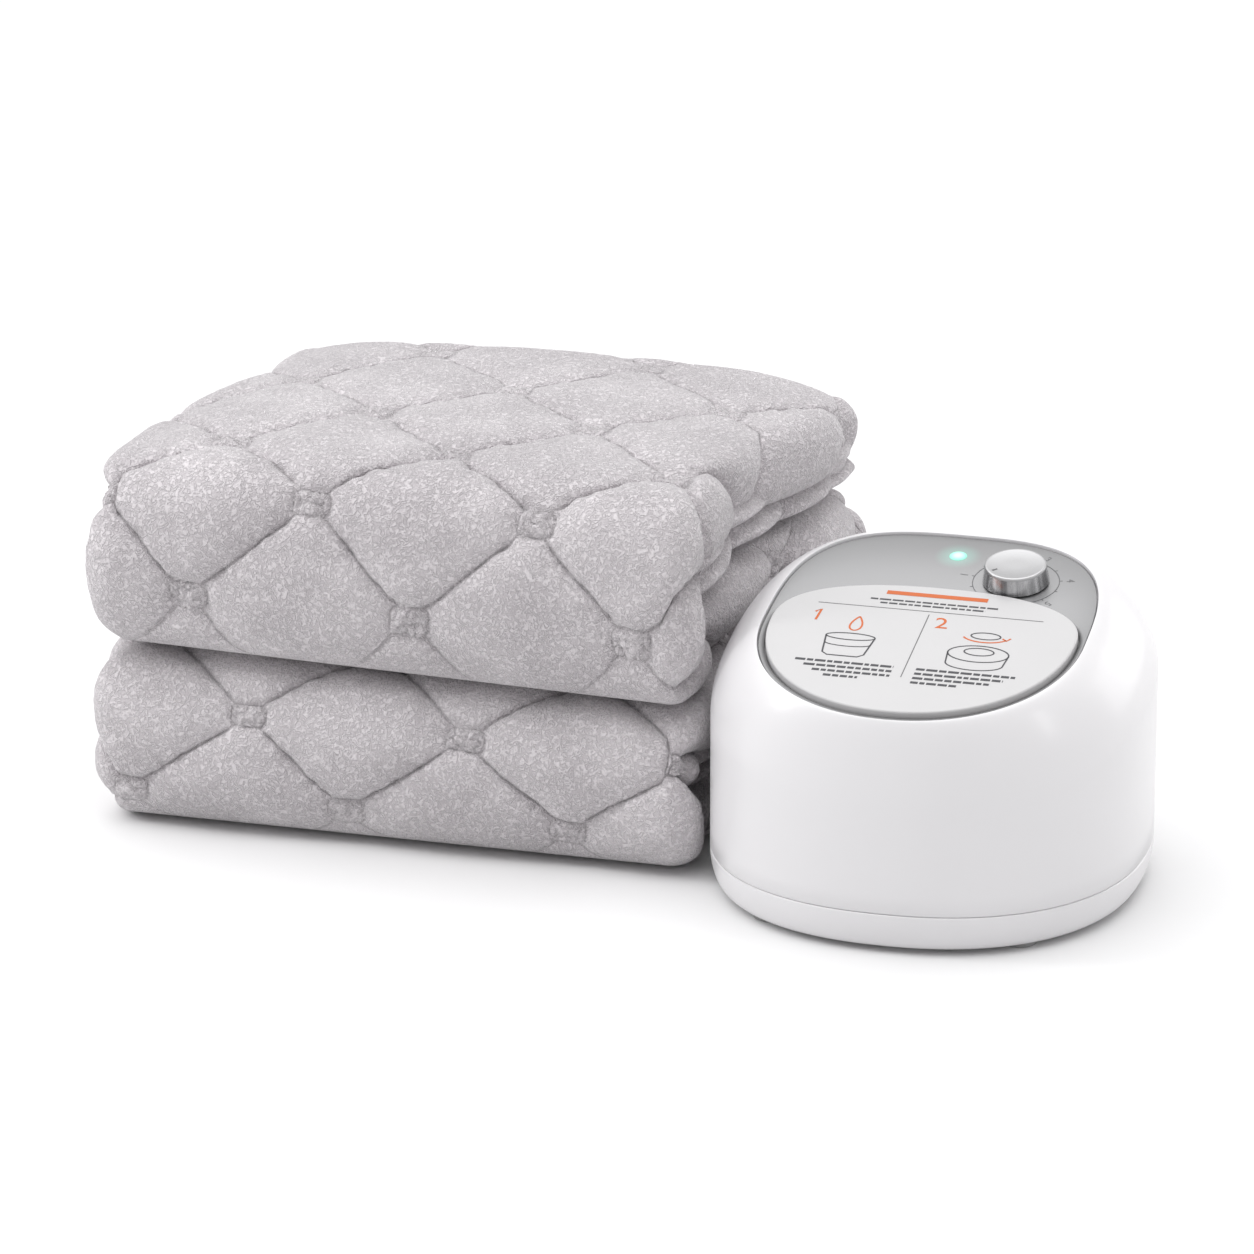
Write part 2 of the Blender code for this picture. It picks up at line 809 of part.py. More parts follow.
# The unit: its housing, base and panel
def corner_places(half_width, half_depth, angle):
    """The same point of a superellipse in each of its four quarters."""
    x, y = plan_point(half_width, half_depth, plan_exponent, angle)
    return [(x, y), (-x, y), (-x, -y), (x, -y)]


def screw_places():
    return corner_places(half_width - screw_inset, half_depth - screw_inset, screw_angle)


def foot_places():
    return corner_places(half_width - foot_inset, half_depth - foot_inset, foot_angle)


def tilted(form):
    """A form given in panel coordinates, in the unit's own."""
    return Form(on_panel(*form.points.T), form.faces)


def housing_rings(inset, rim_grow, rim_w):
    """Rings from the seam up the wall and over the shoulder, a quarter superellipse, to the rim."""
    outline = plan_outline(half_width - inset, half_depth - inset, plan_exponent)
    shoulder = ring_at(outline, shoulder_height + outline[1] * math.tan(panel_tilt))
    crest = on_panel(*rim_outline(rim_grow), rim_w)
    rings = [ring_at(outline, seam_height)]
    for angle in np.linspace(0.0, math.pi / 2, shoulder_rings):
        reach = 1 - max(math.cos(angle), 0.0) ** (2 / shoulder_exponent)
        rise = math.sin(angle) ** (2 / shoulder_exponent)
        rings.append(shoulder + (crest - shoulder) * np.array([reach, reach, rise]))
    return rings


def screw_webs():
    """A web from each screw post to the wall, above the lip of the base."""
    webs = []
    low = seam_height + lip_height + overrun
    inner = plan_outline(half_width - wall, half_depth - wall, plan_exponent)
    for x, y in screw_places():
        nearest = np.argmin(np.hypot(inner[0] - x, inner[1] - y))
        toward = np.array([inner[0][nearest] - x, inner[1][nearest] - y])
        reach = np.linalg.norm(toward) + wall - post_bite
        ahead = toward / np.linalg.norm(toward)
        side = np.array([-ahead[1], ahead[0]]) * web_thickness / 2
        ends = [side, ahead * reach + side, ahead * reach - side, -side]
        foot = np.array([(x + end[0], y + end[1], low) for end in ends])
        webs.append(loft([foot, foot + np.array([0.0, 0.0, post_top - low])]))
    return together(webs)


def housing_shell():
    outer = housing_rings(0.0, 0.0, 0.0)
    inner = housing_rings(wall, -ledge_width, -ledge_drop - ledge_thickness)
    ledge = [on_panel(*rim_outline(grow), -ledge_drop) for grow in (0.0, -ledge_width)]
    made = build("housing_shell", loft(outer + ledge + inner[::-1], True), white_plastic, unit_place)
    boss = chamfered_block(boss_width, boss_height, boss_back - boss_front, boss_edge)
    boolean(made, boss.turned_to("Y").at(y=boss_front, z=boss_z), "UNION")
    boolean(made, screw_webs(), "UNION")
    posts = [rod(post_radius, post_rise, post_top).at(x, y) for x, y in screw_places()]
    boolean(made, together(posts), "UNION")
    pilots = [
        rod(pilot_radius, post_rise - overrun, post_rise + pilot_depth).at(x, y)
        for x, y in screw_places()
    ]
    hole = port_neck_radius + touch_gap
    port_holes = [
        back_rod(hole, x, port_z, boss_front - wall, boss_back + overrun) for x in (heater_x, return_x)
    ]
    socket = block(inlet_width + 2 * touch_gap, inlet_height + 2 * touch_gap, inlet_depth + overrun)
    socket = socket.turned_to("Y").at(inlet_x, boss_back - inlet_depth, inlet_z)
    boolean(made, together([*pilots, *port_holes, socket]), "DIFFERENCE")


def tray_rings():
    """The base from its underside round its tucked-in edge, over its lip and down to its floor."""
    rings = []
    for angle in np.linspace(0.0, math.pi / 2, 4):
        inset = base_tuck * (1 - math.sin(angle))
        height = foot_height + (seam_height - touch_gap - foot_height) * (1 - math.cos(angle))
        rings.append((inset, height))
    lip = wall + slip_gap
    rings += [(lip, seam_height - touch_gap), (lip, seam_height + lip_height)]
    rings += [(lip + lip_thickness, seam_height + lip_height), (lip + lip_thickness, seam_height)]
    rings.append((base_tuck + lip_thickness, floor_top))
    return [
        ring_at(plan_outline(half_width - inset, half_depth - inset, plan_exponent), z)
        for inset, z in rings
    ]


def board_stand_places():
    across = main_board_width / 2 - stand_radius
    along = main_board_depth / 2 - stand_radius
    return [(main_board_x + i * across, main_board_y + j * along) for i in (-1, 1) for j in (-1, 1)]


def tray_supports():
    """What rises from the floor of the base: screw pedestals, ribs, a saddle and board stands."""
    low = floor_top - overrun / 2
    forms = [rod(post_radius, low, post_rise - touch_gap).at(x, y) for x, y in screw_places()]
    rib = block(rib_thickness, tank_half_depth, tank_bottom - touch_gap - low)
    forms += [rib.at(side * rib_x, tank_y, low) for side in (-1, 1)]
    saddle = block(pump_radius, volute_length - 2 * overrun, pump_z - pump_radius / 2 - low)
    forms.append(saddle.at(pump_x, volute_front + volute_length / 2, low))
    rest = block(heater_width, rib_thickness, heater_bottom - touch_gap - low)
    first = heater_front + rib_thickness
    last = heater_front + heater_length - rib_thickness
    forms += [rest.at(heater_x, y, low) for y in (first, last)]
    stands = board_stand_places()
    forms += [rod(stand_radius, low, main_board_z - touch_gap).at(x, y) for x, y in stands]
    return together(forms)


def screw_hole():
    """A stepped hole for one base screw: the pocket of its head, then its shank."""
    pocket_top = foot_height + head_pocket_depth
    profile = [(head_pocket, foot_height - overrun), (head_pocket, pocket_top)]
    profile += [(pilot_radius, pocket_top), (pilot_radius, post_rise + overrun)]
    return turned(profile, small_segments)


def base_tray():
    made = build("base_tray", loft(tray_rings()), white_plastic, unit_place)
    boolean(made, tray_supports(), "UNION")
    holes = [screw_hole().at(x, y) for x, y in screw_places()]
    bed = rod(pump_radius + touch_gap, -overrun, volute_length + overrun, round_segments)
    bed = bed.turned_to("Y").at(pump_x, volute_front, pump_z)
    boolean(made, together([bed, *holes]), "DIFFERENCE")


def foot_pads():
    profile = [(foot_radius - foot_edge, 0.0), (foot_radius, foot_edge)]
    profile.append((foot_radius, foot_height - touch_gap))
    for number, (x, y) in enumerate(foot_places(), 1):
        build(f"foot_{number}", turned(profile, round_segments), soft_rubber, unit_place, (x, y, 0.0))


def base_screws():
    head_top = foot_height + head_pocket_depth - touch_gap
    profile = [(screw_head, head_top - screw_head_height), (screw_head, head_top)]
    profile += [(screw_shank, head_top), (screw_shank, head_top + screw_reach)]
    for number, (x, y) in enumerate(screw_places(), 1):
        build(f"base_screw_{number}", turned(profile, small_segments), steel, unit_place, (x, y, 0.0))


def control_bezel():
    """The silver panel: a plate with the well of the lid, and pegs for the control board."""
    low = -ledge_drop + touch_gap
    well_low = -lid_seat - well_floor
    rings = [ring_at(rim_outline(-bezel_gap), w) for w in (-bezel_drop, low)]
    rings += [ring_at(lid_outline(lid_gap + well_wall), w) for w in (low, well_low)]
    rings += [ring_at(lid_outline(lid_gap - lid_ledge), w) for w in (well_low, -lid_seat)]
    rings += [ring_at(lid_outline(lid_gap), w) for w in (-lid_seat, -bezel_drop)]
    made = build("control_bezel", loft(rings, True), silver_paint, panel_place)
    peg_low = control_board_w + board_thickness + touch_gap
    pegs = [rod(peg_radius, peg_low, low + overrun / 2).at(u, v) for u, v in peg_places()]
    boolean(made, together(pegs), "UNION")
    shaft_hole = rod(dial_shaft_hole, low - overrun, overrun, round_segments).at(dial_u, dial_v)
    lamp_hole = rod(lamp_radius + touch_gap, low - overrun, overrun, round_segments).at(0.0, lamp_v)
    boolean(made, shaft_hole + lamp_hole, "DIFFERENCE")


def peg_places():
    across = control_board_width / 2 - peg_radius
    along = control_board_depth / 2 - peg_radius
    return [(control_board_u + i * across, control_board_v + j * along) for i in (-1, 1) for j in (-1, 1)]


def tank_lid():
    """The lift-off lid over the tank: a plate with a rounded edge on a skirt."""
    low = -lid_seat + touch_gap
    rings = [ring_at(lid_outline(-skirt_thickness), w) for w in (lid_rise - lid_plate, low)]
    rings.append(ring_at(lid_outline(), low))
    for angle in np.linspace(0.0, math.pi / 2, 3):
        grow = -lid_round * (1 - math.cos(angle))
        rings.append(ring_at(lid_outline(grow), lid_rise - lid_round * (1 - math.sin(angle))))
    build("tank_lid", loft(rings), lid_white, panel_place)


# The tank with its cap, seal and float
def tank_form(inset):
    """The tank's block, or its hollow: a soft square in plan under a top parallel to the panel."""
    x, y = plan_outline(tank_half_width - inset, tank_half_depth - inset, tank_exponent)
    y = y + tank_y
    top = panel_height + y * math.tan(panel_tilt) + (tank_top_w - inset) / math.cos(panel_tilt)
    return loft([ring_at((x, y), tank_bottom + inset), ring_at((x, y), top)])


def back_rod(radius, x, z, low, high):
    """A rod along Y."""
    return rod(radius, low, high).turned_to("Y").at(x, 0.0, z)


def water_tank():
    made = build("water_tank", tank_form(0.0), tank_plastic, unit_place)
    neck = rod(neck_radius, tank_top_w - overrun, neck_top_w, round_segments).at(0.0, neck_v)
    ends = [(pump_x, pump_z), (return_x, return_tank_z)]
    nipples = [back_rod(nipple_radius, x, z, tank_y, tank_back + nipple_length) for x, z in ends]
    boolean(made, together([tilted(neck), *nipples]), "UNION")
    boolean(made, tank_form(tank_wall), "DIFFERENCE")
    bore = rod(neck_bore, tank_top_w - neck_radius, neck_top_w + overrun, round_segments).at(0.0, neck_v)
    bores = [back_rod(nipple_bore, x, z, tank_y, tank_back + nipple_length + overrun) for x, z in ends]
    boolean(made, together([tilted(bore), *bores]), "DIFFERENCE")


def cap_seal():
    low = neck_top_w + touch_gap
    ring = tube(seal_outer, seal_inner, low, low + seal_thickness, round_segments)
    build("cap_seal", ring, silicone, panel_place, (0.0, neck_v, 0.0))


def tank_cap():
    """The screw cap on the filler neck, with a bar across its top to turn it by."""
    low = neck_top_w + 2 * touch_gap + seal_thickness
    inside = neck_radius + slip_gap
    profile = [(inside, low), (inside, cap_skirt_w), (cap_radius, cap_skirt_w), (cap_radius, low + cap_plate)]
    made = build("tank_cap", turned(profile), grey_plastic, panel_place, (0.0, neck_v, 0.0))
    grip = chamfered_block(grip_length, grip_width, grip_height + cap_plate / 2, cap_plate / 2)
    boolean(made, grip.at(z=low + cap_plate / 2), "UNION")


def level_sensor():
    """The stem of the level switch on the tank's floor, and the float that slides on it."""
    low = tank_bottom + tank_wall + touch_gap
    flange_top = low + stem_flange_height
    profile = [(stem_flange, low), (stem_flange, flange_top), (stem_radius, flange_top)]
    profile += [(stem_radius, low + stem_height), (stem_flange, low + stem_height)]
    profile.append((stem_flange, low + stem_height + stem_flange_height))
    stem_place = (float_x, tank_y, 0.0)
    build("float_stem", turned(profile, small_segments), grey_plastic, unit_place, stem_place)
    base = flange_top + touch_gap
    ring = tube(float_radius, stem_radius + slip_gap, base, base + float_height, round_segments)
    build("level_float", ring, float_foam, unit_place, stem_place)


# The circulation pump
def pump():
    axis = (pump_x, 0.0, pump_z)
    nipple_end = pump_front - nipple_length
    cover_back = pump_front + cover_thickness
    cover = [(nipple_bore, nipple_end), (nipple_radius, nipple_end), (nipple_radius, pump_front)]
    cover += [(pump_radius, pump_front), (pump_radius, cover_back), (nipple_bore, cover_back)]
    build("pump_cover", turned(cover, closed=True).turned_to("Y"), grey_plastic, unit_place, axis)
    volute_back = volute_front + volute_length
    cavity_back = volute_front + cavity_depth
    bore = shaft_radius + slip_gap
    volute = [(pump_radius, volute_front), (pump_radius, volute_back), (bore, volute_back)]
    volute += [(bore, cavity_back), (cavity_radius, cavity_back), (cavity_radius, volute_front)]
    made = build("pump_housing", turned(volute, closed=True).turned_to("Y"), grey_plastic, unit_place, axis)
    y = volute_front + volute_length / 2
    root = math.sqrt(cavity_radius**2 - (discharge_offset - nipple_radius) ** 2) + touch_gap
    top = pump_radius + discharge_rise
    boolean(made, rod(nipple_radius, root, top).at(discharge_offset, y), "UNION")
    boolean(made, rod(nipple_bore, cavity_radius / 2, top + overrun).at(discharge_offset, y), "DIFFERENCE")


def pump_motor():
    low = volute_front + volute_length + touch_gap
    bore = shaft_radius + slip_gap
    high = low + motor_length
    profile = [(bore, low + shaft_in_motor + overrun), (bore, low), (motor_radius, low)]
    profile += [(motor_radius, high - motor_edge), (motor_radius - motor_edge, high)]
    motor = turned(profile).turned_to("Y")
    build("pump_motor", motor, steel, unit_place, (pump_x, 0.0, pump_z))


def impeller():
    """A bladed disc on its own shaft, turning in the pump housing."""
    disc_back = volute_front + cavity_depth - impeller_clearance
    disc_front = disc_back - impeller_disc
    blade_front = disc_front - impeller_width
    shaft_end = volute_front + volute_length + touch_gap + shaft_in_motor
    profile = [(impeller_hub, blade_front), (impeller_hub, disc_front), (impeller_radius, disc_front)]
    profile += [(impeller_radius, disc_back), (shaft_radius, disc_back), (shaft_radius, shaft_end)]
    place = (pump_x, 0.0, pump_z)
    made = build("impeller", turned(profile, round_segments).turned_to("Y"), grey_plastic, unit_place, place)
    blade = block(impeller_radius - impeller_hub, blade_thickness, impeller_width)
    middle = (impeller_radius + impeller_hub) / 2 - blade_thickness
    blade = blade.at(x=middle, z=blade_front + blade_thickness)
    blades = []
    for number in range(blade_count):
        turn = Matrix.Rotation(2 * math.pi * number / blade_count, 3, "Z")
        blades.append(Form(blade.points @ np.array(turn).T, blade.faces).turned_to("Y"))
    boolean(made, together(blades), "UNION")


# The heater
def heater():
    block_top = heater_bottom + heater_height
    body = block(heater_width, heater_length, heater_height)
    middle = heater_front + heater_length / 2
    back = heater_front + heater_length
    body = body.at(heater_x, middle, heater_bottom)
    made = build("heater_block", body, cast_aluminium, unit_place)
    inlet_y = volute_front + volute_length / 2
    outlet = back_rod(nipple_radius, heater_x, port_z, back - overrun, back + nipple_length)
    inlet = rod(nipple_radius, block_top - overrun, block_top + nipple_length).at(heater_x, inlet_y)
    boolean(made, outlet + inlet, "UNION")
    along = back_rod(nipple_bore, heater_x, port_z, inlet_y, back + nipple_length + overrun)
    boolean(made, along, "DIFFERENCE")
    down = rod(nipple_bore, port_z, block_top + nipple_length + overrun).at(heater_x, inlet_y)
    hole = back_rod(cartridge_radius + touch_gap, cartridge_x, cartridge_z, heater_front - overrun, middle)
    boolean(made, down + hole, "DIFFERENCE")
    ends = (heater_front - cartridge_reach, middle - touch_gap)
    build("heater_cartridge", back_rod(cartridge_radius, cartridge_x, cartridge_z, *ends), steel, unit_place)
    low = block_top + touch_gap
    cutout = rod(cutout_radius, low, low + cutout_height, round_segments)
    place = (heater_x, back - 2 * cutout_radius, 0.0)
    build("thermal_cutout", cutout, dark_plastic, unit_place, place)


# Hoses, ports and mains inlet
def straight_hose(name, x, z, low, high):
    form = tube(hose_outer, hose_inner, low, high).turned_to("Y").at(x, 0.0, z)
    build(name, form, silicone, unit_place)


def straight_hoses():
    straight_hose("suction_hose", pump_x, pump_z, tank_back + touch_gap, pump_front - touch_gap)
    heater_back = heater_front + heater_length
    straight_hose("outlet_hose", heater_x, port_z, heater_back + touch_gap, boss_front - touch_gap)


def delivery_hose():
    """From the pump up in an arch and down to the heater's top."""
    y = volute_front + volute_length / 2
    left = pump_x + discharge_offset
    start = pump_z + pump_radius + touch_gap
    end = heater_bottom + heater_height + touch_gap
    middle = (left + heater_x) / 2
    reach = (heater_x - left) / 2
    spring = start + discharge_rise + nipple_length
    points = [(left, y, start), (left, y, start + discharge_rise)]
    for angle in np.linspace(math.pi, 0.0, 5):
        points.append((middle + reach * math.cos(angle), y, spring + arch_rise * math.sin(angle)))
    points += [(heater_x, y, end + share * nipple_length) for share in (2, 1, 0)]
    build("delivery_hose", hose(smooth_route(points, 24), hose_outer, hose_inner), silicone, unit_place)


def return_hose():
    """From the return port forward, over the heater's level, to the upper part of the tank."""
    front = tank_back + touch_gap
    back = boss_front - touch_gap
    rise = return_tank_z - port_z
    length = back - front
    climb_shares = ((0.0, 0.0), (0.12, 0.0), (0.22, 0.0), (0.38, 0.18), (0.55, 0.55))
    climb_shares += ((0.70, 0.87), (0.80, 1.0), (0.88, 1.0), (1.0, 1.0))
    points = [(return_x, back - length * along, port_z + rise * up) for along, up in climb_shares]
    build("return_hose", hose(smooth_route(points, 15), hose_outer, hose_inner), silicone, unit_place)


def hose_port(name, x):
    """A hose port through the back: nipple, neck, flange and outer nipple round one bore."""
    neck = boss_front
    seat = boss_back + touch_gap
    profile = [(nipple_bore, port_inner_end), (nipple_radius, port_inner_end), (nipple_radius, neck)]
    profile += [(port_neck_radius, neck), (port_neck_radius, seat), (port_flange_radius, seat)]
    profile += [(port_flange_radius, seat + port_flange), (nipple_radius, seat + port_flange)]
    profile += [(nipple_radius, port_outer_end), (nipple_bore, port_outer_end)]
    form = turned(profile, small_segments, True).turned_to("Y").at(x, 0.0, port_z)
    build(name, form, dark_plastic, unit_place)


def power_inlet():
    """The mains inlet in the back: a deep socket with two pins."""
    back = boss_back + inlet_proud
    body = block(inlet_width, inlet_height, inlet_depth).turned_to("Y")
    made = build("power_inlet", body.at(inlet_x, back - inlet_depth, inlet_z), dark_plastic, unit_place)
    recess = block(inlet_width - 2 * inlet_wall, inlet_height - 2 * inlet_wall, inlet_recess_depth + overrun)
    floor = back - inlet_recess_depth
    boolean(made, recess.turned_to("Y").at(inlet_x, floor, inlet_z), "DIFFERENCE")
    pins = [
        back_rod(pin_radius, inlet_x + side * pin_spacing / 2, inlet_z, floor - overrun, floor + pin_length)
        for side in (-1, 1)
    ]
    boolean(made, together(pins), "UNION")


# Boards, what stands on them, and leads
def boards():
    form = block(main_board_width, main_board_depth, board_thickness)
    build("main_board", form.at(main_board_x, main_board_y, main_board_z), board_green, unit_place)
    form = block(control_board_width, control_board_depth, board_thickness)
    form = form.at(control_board_u, control_board_v, control_board_w)
    build("control_board", form, board_green, panel_place)


def board_parts():
    low = main_board_z + board_thickness + touch_gap
    converter = chamfered_block(converter_width, converter_depth, converter_height, touch_gap)
    x = main_board_x + (main_board_width - converter_width) / 2 - overrun
    y = main_board_y - (main_board_depth - converter_depth) / 2 + overrun
    build("power_converter", converter.at(x, y, low), dark_plastic, unit_place)
    relay = chamfered_block(relay_width, relay_depth, relay_height, touch_gap)
    relay_x = main_board_x - (main_board_width - relay_width) / 2 + relay_inset
    build("heater_relay", relay.at(relay_x, y, low), dark_plastic, unit_place)
    can = rod(capacitor_radius, low, low + capacitor_height, round_segments)
    can = can.at(x + capacitor_radius, main_board_y + main_board_depth / 2 - capacitor_radius - overrun)
    build("filter_capacitor", can, dark_plastic, unit_place)


def lead(name, points):
    """A round wire lead along hand-chosen points of the unit."""
    route = smooth_route(points, lead_steps)
    build(name, hose(route, lead_radius, 0.0, lead_sides), wire_black, unit_place)


def terminal(across_share, along_share):
    """Where a lead ends on the main board, in shares of the board's half sizes from its middle."""
    x = main_board_x + across_share * main_board_width / 2
    return x, main_board_y + along_share * main_board_depth / 2


def leads():
    board_top = main_board_z + board_thickness + touch_gap
    inlet_front = boss_back + inlet_proud - inlet_depth - touch_gap
    motor_back = volute_front + volute_length + touch_gap + motor_length + touch_gap
    points = [(inlet_x, inlet_front, inlet_z), (inlet_x, inlet_front - 0.006, inlet_z)]
    points += [(-0.016, 0.082, 0.090), (0.006, 0.076, 0.094), (0.040, 0.066, 0.086)]
    foot = terminal(-1 / 21, 17 / 24)
    points += [(0.064, 0.053, 0.062), (0.071, 0.044, 0.038), (*foot, board_top + 0.007)]
    lead("mains_lead", [*points, (*foot, board_top)])
    points = [(pump_x, motor_back, pump_z), (pump_x, motor_back + 0.005, pump_z)]
    points += [(-0.042, 0.101, 0.050), (-0.024, 0.094, 0.058), (-0.006, 0.084, 0.062)]
    points += [(0.020, 0.072, 0.067), (0.044, 0.060, 0.065), (0.059, 0.051, 0.048)]
    foot = terminal(-11 / 21, 19 / 24)
    lead("motor_lead", [*points, (*foot, board_top + 0.008), (*foot, board_top)])
    cartridge_front = heater_front - cartridge_reach - touch_gap
    points = [(cartridge_x, cartridge_front, cartridge_z), (cartridge_x, 0.001, cartridge_z)]
    points += [(0.031, -0.004, 0.034), (0.044, -0.0035, 0.031), (0.0512, 0.012, 0.030)]
    foot = terminal(-5 / 6, 1 / 3)
    lead("heater_lead", [*points, (*foot, board_top + 0.006), (*foot, board_top)])
    foot = terminal(5 / 21, 1 / 2)
    points = [(*foot, board_top), (*foot, board_top + 0.008), (0.077, 0.035, 0.060)]
    points += [(0.073, 0.038, 0.095), (0.060, 0.036, 0.126)]
    end = on_panel(control_board_u + control_lead_u, control_board_v, control_board_w - touch_gap)
    before = on_panel(control_board_u + control_lead_u, control_board_v, control_board_w - 0.008)
    lead("control_lead", [*points, tuple(before), tuple(end)])


# What shows on the panel
def dial():
    """The potentiometer, its shaft, and the brushed knob with its pointer groove."""
    place = (dial_u, dial_v, 0.0)
    board_top = control_board_w + board_thickness + touch_gap
    body_top = board_top + pot_height
    bore = dial_shaft_radius + touch_gap
    bore_low = board_top + overrun
    bushing_top = -bezel_drop - touch_gap
    profile = [(bore, bore_low), (bore, bushing_top), (pot_bushing_radius, bushing_top)]
    profile += [(pot_bushing_radius, body_top), (pot_radius, body_top), (pot_radius, board_top)]
    build("dial_potentiometer", turned(profile, small_segments), steel, panel_place, place)
    low = -bezel_drop + slip_gap
    socket_top = low + knob_socket_depth
    shaft = rod(dial_shaft_radius, bore_low + touch_gap, socket_top - touch_gap)
    build("dial_shaft", shaft, steel, panel_place, place)
    top = low + knob_height
    inner_top = top - knob_wall
    inside = knob_top_radius - knob_wall
    profile = [(bore, socket_top), (bore, low), (knob_hub_radius, low), (knob_hub_radius, inner_top)]
    profile += [(inside, inner_top), (inside, low), (knob_base_radius, low)]
    profile += [(knob_top_radius, top - knob_edge), (knob_top_radius - knob_edge, top)]
    made = build("control_knob", turned(profile, knob_segments), brushed_metal, panel_place, place)
    groove = block(pointer_length, pointer_width, pointer_depth + overrun)
    groove = groove.at(knob_top_radius - pointer_length, 0.0, top - pointer_depth)
    turn = np.array(Matrix.Rotation(pointer_angle, 3, "Z"))
    boolean(made, Form(groove.points @ turn.T, groove.faces), "DIFFERENCE")


def status_lamp():
    low = -ledge_drop - lamp_flange
    profile = [(lamp_flange_radius, low), (lamp_flange_radius, low + lamp_flange)]
    profile += [(lamp_radius, low + lamp_flange), (lamp_radius, -bezel_drop)]
    profile += [(lamp_radius * lamp_crown_share, lamp_dome - bezel_drop)]
    build("lamp_lens", turned(profile), lamp_green, panel_place, (0.0, lamp_v, 0.0))
    base = control_board_w + board_thickness + touch_gap
    top = low - touch_gap
    profile = [(led_radius + touch_gap, base), (led_radius + touch_gap, base + overrun / 2)]
    profile += [(led_radius, base + overrun / 2), (led_radius, top - led_radius / 2), (led_radius / 2, top)]
    build("status_led", turned(profile, small_segments), lid_white, panel_place, (0.0, lamp_v, 0.0))


def control_unit():
    housing_shell()
    base_tray()
    foot_pads()
    base_screws()
    control_bezel()
    tank_lid()
    water_tank()
    cap_seal()
    tank_cap()
    level_sensor()
    pump()
    pump_motor()
    impeller()
    heater()
    straight_hoses()
    delivery_hose()
    return_hose()
    hose_port("outlet_port", heater_x)
    hose_port("return_port", return_x)
    power_inlet()
    boards()
    board_parts()
    leads()
    dial()
    status_lamp()


folded_pad()
control_unit()
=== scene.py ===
"""Looks of the folded water-heated mattress pad and its heater and pump unit.

Metres, +Z up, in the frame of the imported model. The new pieces are surfaces on grids of points that
numpy works out, apart from the printed numbers, and every finish is made of shader nodes. Panel
coordinates are u across the sloping panel, v up its slope and w out of it.
"""

import json
import math

import bpy
import numpy as np
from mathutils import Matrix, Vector


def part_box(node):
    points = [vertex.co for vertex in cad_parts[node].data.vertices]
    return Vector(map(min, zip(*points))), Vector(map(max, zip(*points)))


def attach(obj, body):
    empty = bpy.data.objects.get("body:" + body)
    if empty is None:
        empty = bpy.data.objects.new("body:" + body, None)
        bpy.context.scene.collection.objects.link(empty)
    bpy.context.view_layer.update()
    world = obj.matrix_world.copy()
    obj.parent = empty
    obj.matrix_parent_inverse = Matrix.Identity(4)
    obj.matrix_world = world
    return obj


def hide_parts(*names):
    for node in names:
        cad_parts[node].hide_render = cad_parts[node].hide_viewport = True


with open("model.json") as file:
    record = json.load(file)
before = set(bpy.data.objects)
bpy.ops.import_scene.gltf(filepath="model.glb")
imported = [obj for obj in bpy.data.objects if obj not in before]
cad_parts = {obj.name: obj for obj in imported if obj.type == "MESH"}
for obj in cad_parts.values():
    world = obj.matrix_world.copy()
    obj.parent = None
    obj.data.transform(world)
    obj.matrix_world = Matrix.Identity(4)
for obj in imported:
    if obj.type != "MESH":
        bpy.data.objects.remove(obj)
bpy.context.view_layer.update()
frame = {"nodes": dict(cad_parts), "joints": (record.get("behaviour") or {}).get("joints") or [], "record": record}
dice = np.random.default_rng(11)

# Camera, found from the outlines and edges in the photograph
camera_place = (0.8999, -3.2056, 1.2174)
camera_target = (-0.1001, 0.292, -0.0024)
camera_lens, sensor_width = 186.6, 36.0

# Sizes of the unit
shell_width, shell_depth, plan_exponent = 0.230, 0.246, 2.25
wall, seam_height, seam_gap, seam_round = 0.0028, 0.023, 0.0003, 0.0005
foot_height, base_tuck = 0.003, 0.0078
shoulder_height, shoulder_exponent = 0.107, 1.55
panel_height, panel_tilt = 0.1515, math.radians(12.5)
ledge_width, ledge_drop, ledge_thickness = 0.0016, 0.0039, 0.0015
bezel_gap, bezel_drop, bezel_round = 0.00075, 0.0012, 0.0005
lid_rise, lid_round, lid_plate, lid_gap = 0.0015, 0.0011, 0.0025, 0.0008
lid_seat, lid_ledge, skirt_thickness = 0.0055, 0.005, 0.0016
well_wall, well_floor = 0.0014, 0.002
band_width, band_drop = 0.0021, 0.0010
boss_front, boss_back, boss_round = 0.1125, 0.1236, 0.0016
inlet_depth, inlet_recess, inlet_wall, inlet_proud = 0.026, 0.017, 0.003, 0.001
dial_u, dial_v = 0.036, 0.0295
knob_base_radius, knob_top_radius, knob_height = 0.0175, 0.0162, 0.0105
knob_edge, knob_dish, knob_low = 0.0008, 0.0002, -0.0006
lamp_v, lamp_radius, lamp_dome = 0.0508, 0.0047, 0.0008
neck_v, neck_radius = -0.048, 0.022
cap_radius, cap_low, cap_top = 0.026, -0.025, -0.0112

# Eggs on the panel: half width, reach to the front and to the rear, exponent in front and behind
rim_egg = (0.0855, 0.0885, 0.101, 2.1, 3.1)
lid_egg = (0.081, 0.0825, 0.0428, 2.1, 2.4)
widest_v = -0.030

# Soft rectangles on the back: width, height, and the middle across and up
boss = (0.088, 0.062, 0.0, 0.0615)
inlet = (0.026, 0.016, -0.028, 0.080)

# Print on the panel: its lift off the paint, its thickness, and the dial's angles in degrees
ink_lift, ink_thickness = 0.00003, 0.00008
dial_start, dial_sweep, pointer_angle = 228, 270, 218
dial_radius, tick_end, number_radius = 0.0228, 0.0244, 0.0284

